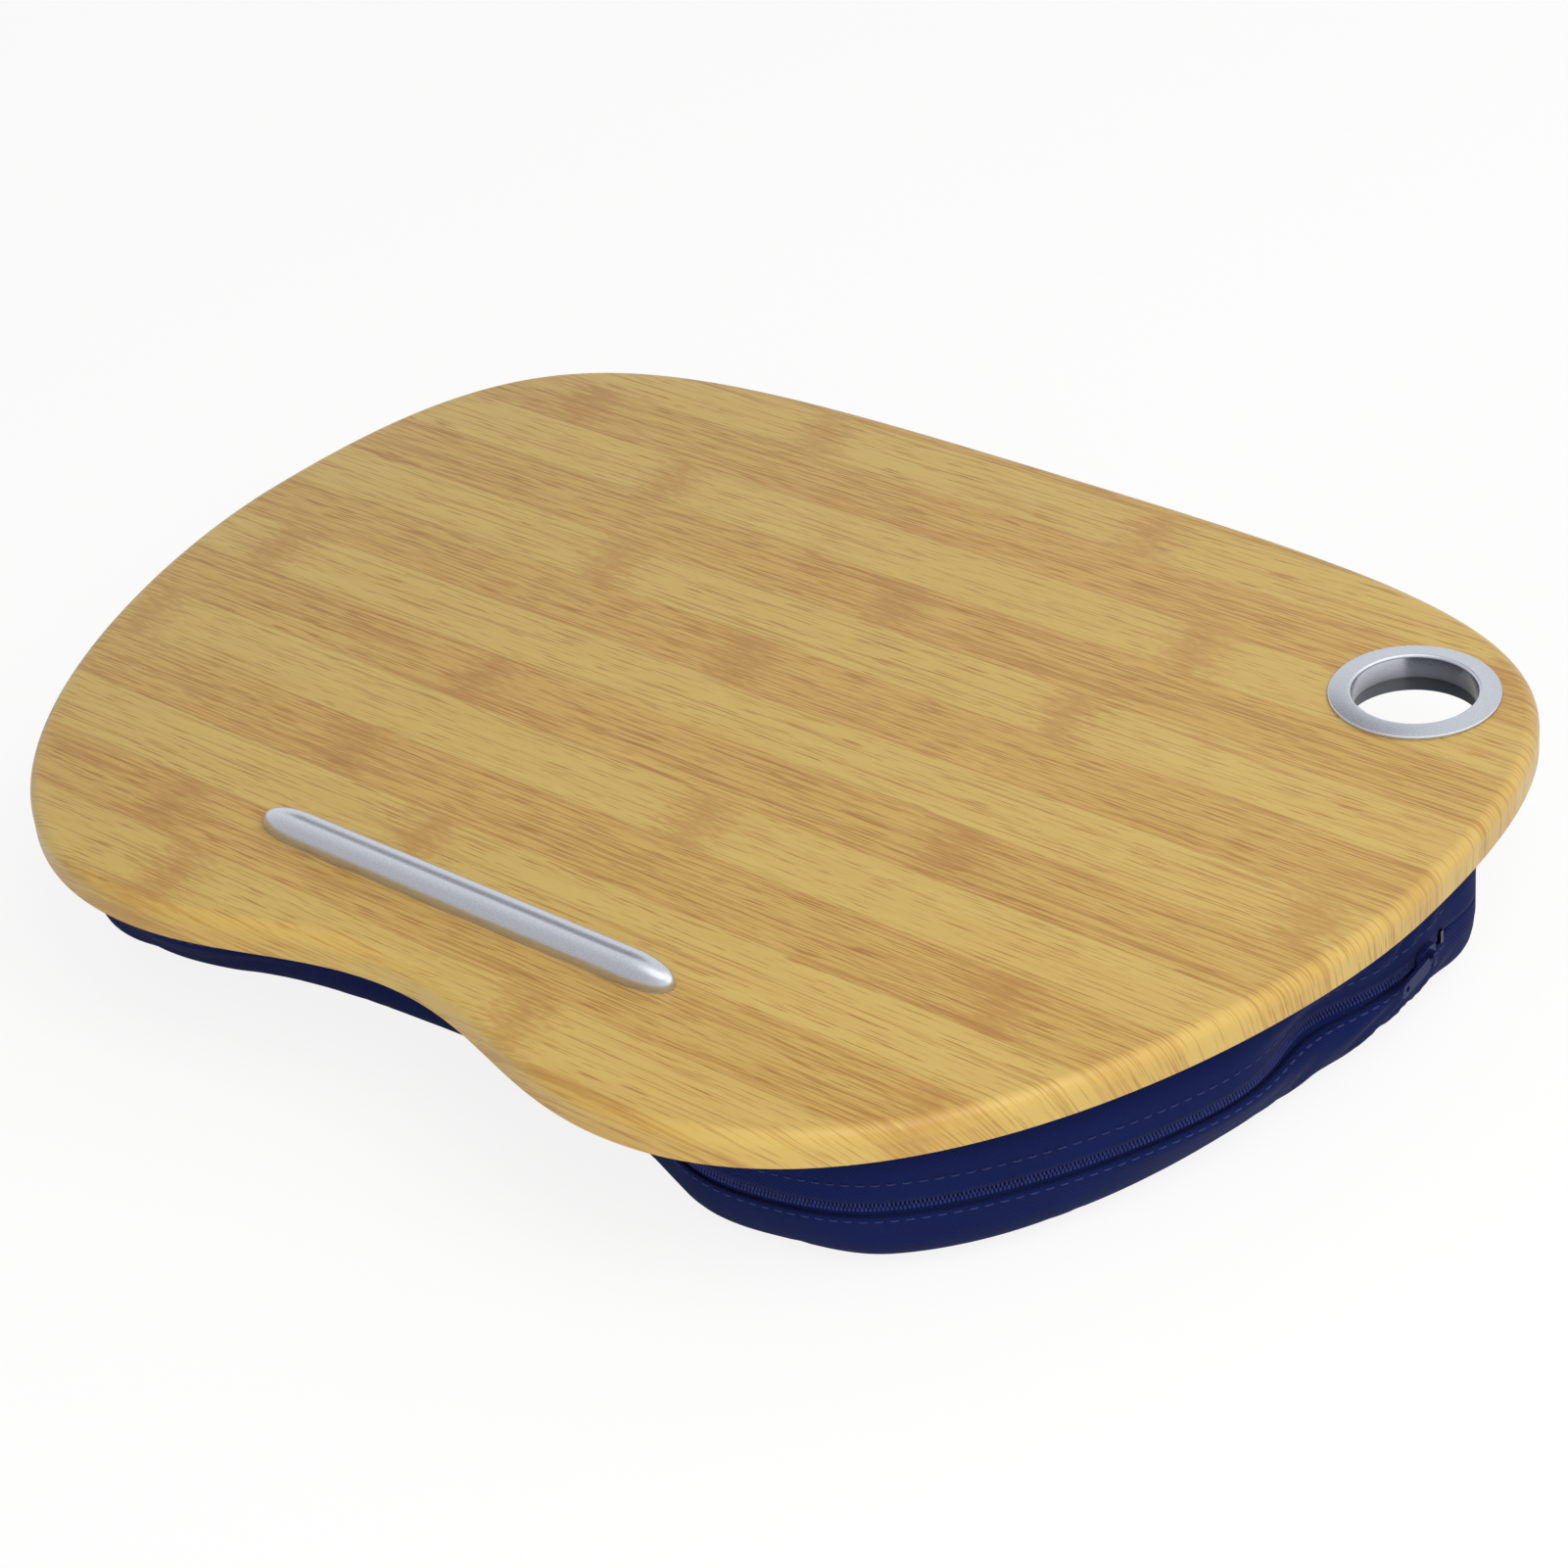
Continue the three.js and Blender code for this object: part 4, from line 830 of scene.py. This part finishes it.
class TRAY_OT_cable_ring(bpy.types.Operator):
    """Builds the two halves of the cable ring"""
    bl_idname = "tray.cable_ring"
    bl_label = "Cable ring"

    def execute(self, context):
        size, board = context.scene.tray_ring, context.scene.tray_board
        centre = (RING_LOW[:2] + RING_HIGH[:2]) / 2
        top, bottom = board.top, board.bottom
        silver = silver_paint()
        barrel = size.bore + size.wall
        end = top - size.reach
        # The bead that clips into the collar's groove: how far it stands out, its heights and its softness
        bead, soft = 0.45 * MM, 0.2 * MM
        bead_low, bead_middle, bead_high = (end + rise * MM for rise in (0.8, 1.6, 2.4))
        bezel = fillet([
            (size.flange, top, 0.1 * MM),
            (size.flange, top + size.edge, 0.55 * MM),
            (size.bore, top + size.rise, size.lip),
            (size.bore, end, 0.25 * MM),
            (barrel, end, 0.3 * MM),
            (barrel, bead_low, soft),
            (barrel + bead, bead_middle, soft),
            (barrel, bead_high, soft),
            (barrel, top, 0),
        ])
        piece = surface("cable_ring_bezel", revolve(bezel, centre, 160), wrap_rows=True, sharp=45)
        finish_piece(piece, silver, "tray", "silver", "ring_bezel")
        play = 0.3 * MM
        inner, outer = size.collar_bore, board.hole - play
        collar = fillet([
            (outer, bottom, 0),
            (outer, top - play, soft),
            (inner, top - play, soft),
            (inner, bead_high, soft),
            (inner + bead, bead_middle, soft),
            (inner, bead_low, soft),
            (inner, bottom - size.collar_flange, 0.5 * MM),
            (size.flange, bottom - size.collar_flange, 0.7 * MM),
            (size.flange, bottom, 0.1 * MM),
        ])
        piece = surface("cable_ring_collar", revolve(collar, centre, 160), wrap_rows=True, sharp=45)
        finish_piece(piece, silver, "tray", "silver", "ring_collar")
        return {"FINISHED"}


class TRAY_OT_stop_bar(bpy.types.Operator):
    """Builds the laptop stop bar and its screws"""
    bl_idname = "tray.stop_bar"
    bl_label = "Stop bar"

    def execute(self, context):
        size = context.scene.tray_bar
        half = (BAR_HIGH[0] - BAR_LOW[0]) / 2
        middle_y = (BAR_LOW[1] + BAR_HIGH[1]) / 2
        width, height = BAR_HIGH[1] - BAR_LOW[1], BAR_HIGH[2] - BAR_LOW[2]
        # Along the bar: a bullet end, the straight, a bullet end. The ends narrow and sink as powers of a
        # cosine. Across it: a squared half round on a flat base
        narrowing, sinking = 0.85, 0.6
        turn = np.linspace(0, np.pi / 2, 20)
        nose = half - size.tip + size.tip * np.sin(turn)
        x = np.concatenate([-nose[::-1], nose])[:, None]
        taper = np.cos(np.concatenate([turn[::-1], turn]))[:, None]
        a = np.linspace(0, np.pi, 33)[None]
        cos, sin = np.cos(a), np.sin(a)
        across = np.sign(cos) * np.abs(cos) ** size.crown
        over = np.abs(sin) ** size.crown
        y = middle_y + width / 2 * taper ** narrowing * across
        z = BAR_LOW[2] + height * taper ** sinking * over
        arch = np.stack([np.broadcast_to(x, y.shape), y, z], -1)
        b = np.linspace(-1, 1, 9)[None, 1:-1]
        base_y = middle_y + width / 2 * taper ** narrowing * b
        base = np.stack([np.broadcast_to(x, base_y.shape), base_y, np.full_like(base_y, BAR_LOW[2])], -1)
        bar = surface("laptop_stop_bar", np.concatenate([arch, base], 1), sharp=60)
        finish_piece(bar, silver_paint(), "tray", "silver", "stop_bar")
        steel = plated_steel("zinc_plated_screw", context.scene.tray_colours.steel)
        for side in ("left", "middle", "right"):
            self.screw(side, steel)
        return {"FINISHED"}

    def screw(self, side, steel):
        """A countersunk screw: rings from the recess in its head up the cone and the thread to its point."""
        low, high = (np.array(v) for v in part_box("stop_bar_screw_" + side))
        centre = (low[:2] + high[:2]) / 2
        head, shank = (high[0] - low[0]) / 2, 1.75 * MM
        angle = np.linspace(0, 2 * np.pi, 48, endpoint=False)
        around = np.ones((1, len(angle)))
        pitch, turns = 1.25 * MM, 9
        start = low[2] + 2.3 * MM
        rise = np.linspace(start, high[2] - 1.0 * MM, 8 * turns)
        wave = 0.5 + 0.5 * np.cos(2 * np.pi * ((rise[:, None] - start) / pitch - angle[None] / (2 * np.pi)))
        thread = shank * (0.8 + 0.2 * wave ** 2)
        # A cross recess: deeper near its four arms and in its middle, fading to the rim
        recess, reach, middle = 1.3 * MM, 0.62 * head, 0.2 * head
        disc = np.array([0.0, 0.12, 0.25, 0.38, 0.5, 0.6, 0.75, 0.95])[:, None] * head
        arms = np.abs(np.cos(2 * angle))[None] ** 6
        deep = recess * np.clip(1 - disc / reach, 0, 1) ** 0.7 * np.maximum(arms, disc < middle)
        rings = [(disc * around, low[2] + deep)]
        cone = np.array([[head, low[2] + 0.1 * MM], [head, low[2] + 0.3 * MM], [shank, low[2] + 2.1 * MM]])
        rings.append((cone[:, :1] * around, cone[:, 1:] * around))
        rings.append((thread, rise[:, None] * around))
        rings.append((0 * around, high[2] * around))
        radius = np.concatenate([r for r, _ in rings])
        height = np.concatenate([h for _, h in rings])
        x, y = centre[0] + radius * np.cos(angle), centre[1] + radius * np.sin(angle)
        points = np.stack([x, y, height], -1)
        piece = surface("stop_bar_screw_" + side + "_threaded", points, sharp=40)
        finish_piece(piece, steel, "tray", "steel", "stop_bar_screw_" + side)


class TRAY_OT_cushion(bpy.types.Operator):
    """Builds the two halves of the cover and the bead bag inside"""
    bl_idname = "tray.cushion"
    bl_label = "Cushion"

    def execute(self, context):
        line = CushionLine()
        size = context.scene.tray_cushion
        colours = context.scene.tray_colours
        cloth = navy_twill("navy_polyester_twill", colours.navy, 1.1 * MM)
        run = np.linspace(0, line.total, COVER_COLUMNS, endpoint=False)
        for name, side in (("upper", 1), ("lower", -1)):
            outer, outer_lay = cover_half(line, size, run, side, 0.0)
            inner, inner_lay = cover_half(line, size, run, side, size.cloth)
            move = np.zeros_like(outer)
            # Rows from the top down, so that the faces look outwards; the band at the zip and the panel's
            # rim are sewn
            wall = outer[PANEL_ROWS:][::side]
            held = np.abs(wall[..., 2] - COVER_TOP / 2) < size.band - SWELL_FREE
            held[[0, -1]] = True
            move[PANEL_ROWS:] = swell(wall, held)[::side]
            grid = np.concatenate([outer + move, (inner + move)[::-1]])
            grid[..., 2] = np.clip(grid[..., 2], 0, COVER_TOP)
            lay = np.concatenate([outer_lay, inner_lay[::-1]])
            piece = surface("cushion_cover_" + name, grid, coords=lay.reshape(-1, 3))
            finish_piece(piece, cloth, "tray", "navy_cloth", "cover_" + name)
        upper, upper_lay = cover_half(line, size, run, 1, size.bag_in)
        lower, lower_lay = cover_half(line, size, run, -1, size.bag_in)
        lay = np.concatenate([upper_lay, lower_lay[::-1]])
        bag = surface("bead_bag_liner", np.concatenate([upper, lower[::-1]]), coords=lay.reshape(-1, 3))
        bag_cloth = navy_twill("nonwoven_bag_cloth", colours.bag, 1.6 * MM)
        finish_piece(bag, bag_cloth, "tray", "bag_cloth", "bead_bag")
        return {"FINISHED"}


def wall_dent(line, run, height):
    """How far the wall is drawn in at a place, less where it stands out.

    The right side is pinched where the zip buckles, with a long hollow below it, the lobes are drawn back in
    front, the right back corner stands out, and small folds run down from the pinch. Each is a bell over the
    run, and some are deeper in the lower part of the wall.
    """
    middle = COVER_TOP / 2
    lower = smooth_step((middle - 6 * MM - height) / (12 * MM))
    # Hollow, right lobe and corner: depth and depth added below in millimetres, distance from the bell's
    # middle in metres, and its width in millimetres
    bells = (
        (0.0, 6.9, run - line.at_side(math.radians(-10.5)), 77),
        (6.0, 2.7, run - line.ends[3] - 39 * MM, 38),
        (-6.7, 0.0, run - (line.ends[1] + line.ends[2]) / 2, 15),
    )
    dent = 0.0
    for deep, below, off, wide in bells:
        dent = dent + (deep + below * lower) * MM * np.exp(-(off / (wide * MM)) ** 2)
    # The left lobe's bell starts only past the end of the side
    from_side = line.total - run - line.ends[3]
    left = 7.2 * MM * (1 + lower) * np.exp(-((from_side - 69 * MM) / (60 * MM)) ** 2)
    dent = dent + left * smooth_step((from_side - 4 * MM) / (30 * MM))
    # The pinch is a bell over the height as well
    pinch_at = (run - line.at_side(math.radians(-6.5))) / (26 * MM)
    dent = dent + 11 * MM * np.exp(-pinch_at ** 2 - ((height - middle - 2 * MM) / (13 * MM)) ** 2)
    # Slanted folds about 16 mm apart, away from the band
    wave = np.sin(2 * np.pi * (0.8 * run + 1.1 * height) / (16 * MM) + 2 * np.sin(run / (11 * MM)))
    near = np.exp(-((run - line.at_side(math.radians(2))) / (40 * MM)) ** 2)
    return dent + 0.9 * MM * wave * near * smooth_step((np.abs(height - middle) - 5 * MM) / (8 * MM))


def swell(points, held):
    """How far the cloth moves when the filling presses on it between its held rows, as a cloth simulation.

    points is a grid of rows by columns round the cushion, and held says which of its points are sewn down.
    """
    mesh = bpy.data.meshes.new("cloth_trial")
    mesh.from_pydata(points.reshape(-1, 3).tolist(), [], grid_faces(*points.shape[:2]).tolist())
    trial = bpy.data.objects.new("cloth_trial", mesh)
    scene = bpy.context.scene
    scene.collection.objects.link(trial)
    trial.vertex_groups.new(name="sewn").add(np.nonzero(held.ravel())[0].tolist(), 1.0, "REPLACE")
    cloth = trial.modifiers.new("cloth", "CLOTH")
    cloth.settings.vertex_group_mass = "sewn"
    cloth.settings.use_pressure = True
    cloth.settings.uniform_pressure_force = SWELL_PRESSURE
    cloth.settings.mass = SWELL_WEIGHT
    cloth.settings.shrink_min = -SWELL_SPARE
    cloth.settings.effector_weights.gravity = 0
    cloth.collision_settings.use_collision = False
    for step in range(1, SWELL_FRAMES + 1):
        scene.frame_set(step)
    moved = np.empty(points.size, dtype=np.float32)
    trial.evaluated_get(bpy.context.evaluated_depsgraph_get()).data.vertices.foreach_get("co", moved)
    scene.frame_set(1)
    bpy.data.objects.remove(trial)
    bpy.data.meshes.remove(mesh)
    move = moved.reshape(points.shape) - points
    far = np.linalg.norm(move, axis=-1, keepdims=True)
    return move * np.minimum(1, SWELL_MOST / np.maximum(far, 1e-9))


def cover_half(line, size, run, side, inside):
    """Rows of one half of the cover from the middle of its panel to the zip, at a depth inside its face.

    A quarter ellipse turns the panel into the upright band, and the dent draws the band in. The second grid
    is the cloth laid flat: the run along the wall and the length from the panel's middle.
    """
    middle = COVER_TOP / 2
    p, n = line.points(run)
    roll_in = size.roll - inside
    panel_z = middle + side * (middle - inside)
    rows = []
    for part in PANEL_SHARES:
        ring = (p - n * (inside + roll_in)) * part + PANEL_MIDDLE * (1 - part)
        rows.append(np.concatenate([ring, np.full((len(ring), 1), panel_z)], -1)[None])
    turn = np.linspace(np.pi / 2, 0, 14)[:, None] * np.ones((1, len(run)))
    roll_inset = inside + roll_in * (1 - np.cos(turn))
    roll_height = middle + side * (size.band + (middle - size.band - inside) * np.sin(turn))
    lip = (size.above if side > 0 else size.below) * line.open_share(run)[None]
    down = np.linspace(0, 1, 7)[1:, None]
    band_height = middle + side * (size.band + (lip - size.band) * down)
    height = np.concatenate([roll_height, band_height])
    inset = np.concatenate([roll_inset, np.full_like(band_height, inside)])
    inset = inset + wall_dent(line, run[None], height)
    rows.append(np.concatenate([p[None] - n[None] * inset[..., None], height[..., None]], -1))
    points = np.concatenate(rows)
    steps = np.linalg.norm(np.diff(points, axis=0), axis=-1).mean(axis=1)
    along = np.concatenate([[0], np.cumsum(steps)])[:, None] * np.ones((1, len(run)))
    return points, np.stack([np.broadcast_to(run, along.shape), along, np.zeros_like(along)], -1)


class TRAY_OT_zip(bpy.types.Operator):
    """Builds the zip's tapes and coils and the topstitching beside it"""
    bl_idname = "tray.zip"
    bl_label = "Zip"

    def execute(self, context):
        line = CushionLine()
        size = context.scene.tray_cushion
        tape_cloth = navy_twill("navy_zip_tape", context.scene.tray_colours.navy, 0.9 * MM)
        coil = coil_finish()
        for name, side in (("upper", 1), ("lower", -1)):
            self.tape(line, size, name, side, tape_cloth)
            self.coil(line, size, name, side, coil)
        thread = thread_finish()
        self.stitches(line, size, "topstitch_upper", size.stitch_above, thread)
        self.stitches(line, size, "topstitch_lower", -size.below - size.stitch_in, thread)
        steel = plated_steel("zinc_plated_zip", "#34384A")
        dress_node("zip_stop_side", steel)
        dress_node("zip_stop_front", steel)
        return {"FINISHED"}

    def tape(self, line, size, name, side, cloth):
        """A flat band behind the wall: a rectangle carried along the zip, with both ends drawn to a point."""
        run = np.linspace(line.zip_start, line.zip_end, 260)
        p, n = line.points(run)
        deep = size.tape_in + np.array([0, 0, 1, 1]) * size.tape_thick
        high = size.tape_gap + np.array([0, 1, 1, 0]) * size.tape_width
        height = COVER_TOP / 2 + side * high[None] * np.ones((len(run), 1))
        inset = deep[None] + wall_dent(line, run[:, None], height)
        grid = np.concatenate([p[:, None] - n[:, None] * inset[..., None], height[..., None]], -1)
        tips = grid[[0, -1]].mean(1, keepdims=True).repeat(4, 1)
        grid = np.concatenate([tips[:1], grid, tips[1:]])
        at = np.concatenate([run[:1], run, run[-1:]])[:, None] * np.ones((1, 4))
        girth = np.cumsum([0, size.tape_width, size.tape_thick, size.tape_width])[None]
        lay = np.stack([at, girth * np.ones_like(at), np.zeros_like(at)], -1)
        piece = surface("zip_tape_" + name + "_woven", grid, coords=lay.reshape(-1, 3), sharp=40)
        finish_piece(piece, cloth, "tray", "navy_tape", "zip_tape_" + name)

    def coil(self, line, size, name, side, finish):
        """A row of coil turns: one small rounded tooth at each pitch, lying across the zip.

        The upper row stands a little prouder and lies half a pitch along.
        """
        margin = 3 * MM
        half_long, half_wide, half_high = 0.95 * MM, 0.5 * MM, (0.68 if side > 0 else 0.45) * MM
        count = int((line.zip_end - line.zip_start - 2 * margin) / size.tooth_pitch)
        turns = np.arange(count) + (0.5 if side > 0 else 0.0)
        run = line.zip_start + margin + size.tooth_pitch * turns
        p, n = line.points(run)
        tangent = np.stack([-n[:, 1], n[:, 0]], -1)
        a = np.linspace(0, 2 * np.pi, 8, endpoint=False)
        rows = np.array([-1.0, -0.72, 0.0, 0.72, 1.0])[:, None]
        girth = np.sqrt(np.clip(1 - rows ** 4, 0, 1))
        across = half_wide * girth * np.cos(a)
        out = half_high * girth * np.sin(a)
        height = COVER_TOP / 2 + side * size.coil_above + np.broadcast_to(half_long * rows, across.shape)
        inset = size.coil_in + wall_dent(line, run[:, None, None], height[None]) - out[None]
        xy = p[:, None, None] - n[:, None, None] * inset[..., None]
        xy = xy + tangent[:, None, None] * across[None, ..., None]
        points = np.concatenate([xy, np.broadcast_to(height, inset.shape)[..., None]], -1)
        piece = repeated("zip_coil_" + name + "_turns", points)
        finish_piece(piece, finish, "tray", "coil", "zip_coil_" + name)

    def stitches(self, line, size, name, height, thread):
        """A row of topstitches: each a short rounded dash that dips into the cloth at both ends."""
        count = int((line.zip_end - line.zip_start) / size.stitch_pitch)
        start = line.zip_start + size.stitch_pitch * np.arange(count)
        t = np.array([-1.0, -0.8, -0.4, 0.0, 0.4, 0.8, 1.0])[:, None]
        a = np.linspace(0, 2 * np.pi, 6, endpoint=False)[None]
        thick = size.thread * np.sqrt(np.clip(1 - t ** 6, 0, 1))
        lift = 0.4 * size.thread - size.thread * t ** 4
        run = start[:, None, None] + 0.5 * size.stitch * t[None] + 0 * a[None]
        z = np.broadcast_to(COVER_TOP / 2 + height + thick * np.sin(a), run.shape)
        p, n = line.points(run)
        inset = wall_dent(line, run, z) - (lift + thick * np.cos(a))[None]
        piece = repeated(name, np.concatenate([p - n * inset[..., None], z[..., None]], -1))
        finish_piece(piece, thread, "tray", "navy_cloth")


class TRAY_OT_slider(bpy.types.Operator):
    """Finishes the zip's slider and pull"""
    bl_idname = "tray.slider"
    bl_label = "Slider and pull"

    def execute(self, context):
        enamel = navy_enamel()
        dress_node("zip_slider", enamel)
        dress_node("zip_pull", enamel)
        return {"FINISHED"}


class TRAY_OT_pads(bpy.types.Operator):
    """Finishes the hook and loop pads between the cover and the board"""
    bl_idname = "tray.pads"
    bl_label = "Hook and loop pads"

    def execute(self, context):
        hook = pile_tape("nylon_hook_tape", "#24262B")
        loop = pile_tape("nylon_loop_tape", "#1B2148")
        for place in ("back_left", "back_right", "front_left", "front_right"):
            dress_node("hook_pad_" + place, hook)
            dress_node("loop_pad_" + place, loop)
        return {"FINISHED"}


class TRAY_PT_pieces(bpy.types.Panel):
    """Lists the pieces of the tray"""
    bl_idname = "TRAY_PT_pieces"
    bl_label = "Laptop bed tray"
    bl_space_type = "VIEW_3D"
    bl_region_type = "UI"
    bl_category = "Tray"

    def draw(self, context):
        for operator in OPERATORS:
            self.layout.operator(operator.bl_idname)


GROUPS = {
    "tray_board": TrayBoardSizes,
    "tray_ring": TrayRingSizes,
    "tray_bar": TrayBarSizes,
    "tray_cushion": TrayCushionSizes,
    "tray_colours": TrayColours,
}
OPERATORS = (
    TRAY_OT_stage,
    TRAY_OT_board,
    TRAY_OT_cable_ring,
    TRAY_OT_stop_bar,
    TRAY_OT_cushion,
    TRAY_OT_zip,
    TRAY_OT_slider,
    TRAY_OT_pads,
)


def register():
    """Registers the classes and puts the sizes and colours on the scene."""
    for cls in (*GROUPS.values(), *OPERATORS, TRAY_PT_pieces):
        bpy.utils.register_class(cls)
    for name, group in GROUPS.items():
        setattr(bpy.types.Scene, name, PointerProperty(type=group))


def unregister():
    """Takes the sizes and colours off the scene and unregisters the classes."""
    for name in GROUPS:
        delattr(bpy.types.Scene, name)
    for cls in (TRAY_PT_pieces, *reversed(OPERATORS), *GROUPS.values()):
        bpy.utils.unregister_class(cls)


def main():
    register()
    bpy.ops.tray.stage()
    bpy.ops.tray.board()
    bpy.ops.tray.cable_ring()
    bpy.ops.tray.stop_bar()
    bpy.ops.tray.cushion()
    bpy.ops.tray.zip()
    bpy.ops.tray.slider()
    bpy.ops.tray.pads()


if __name__ == "__main__":
    main()
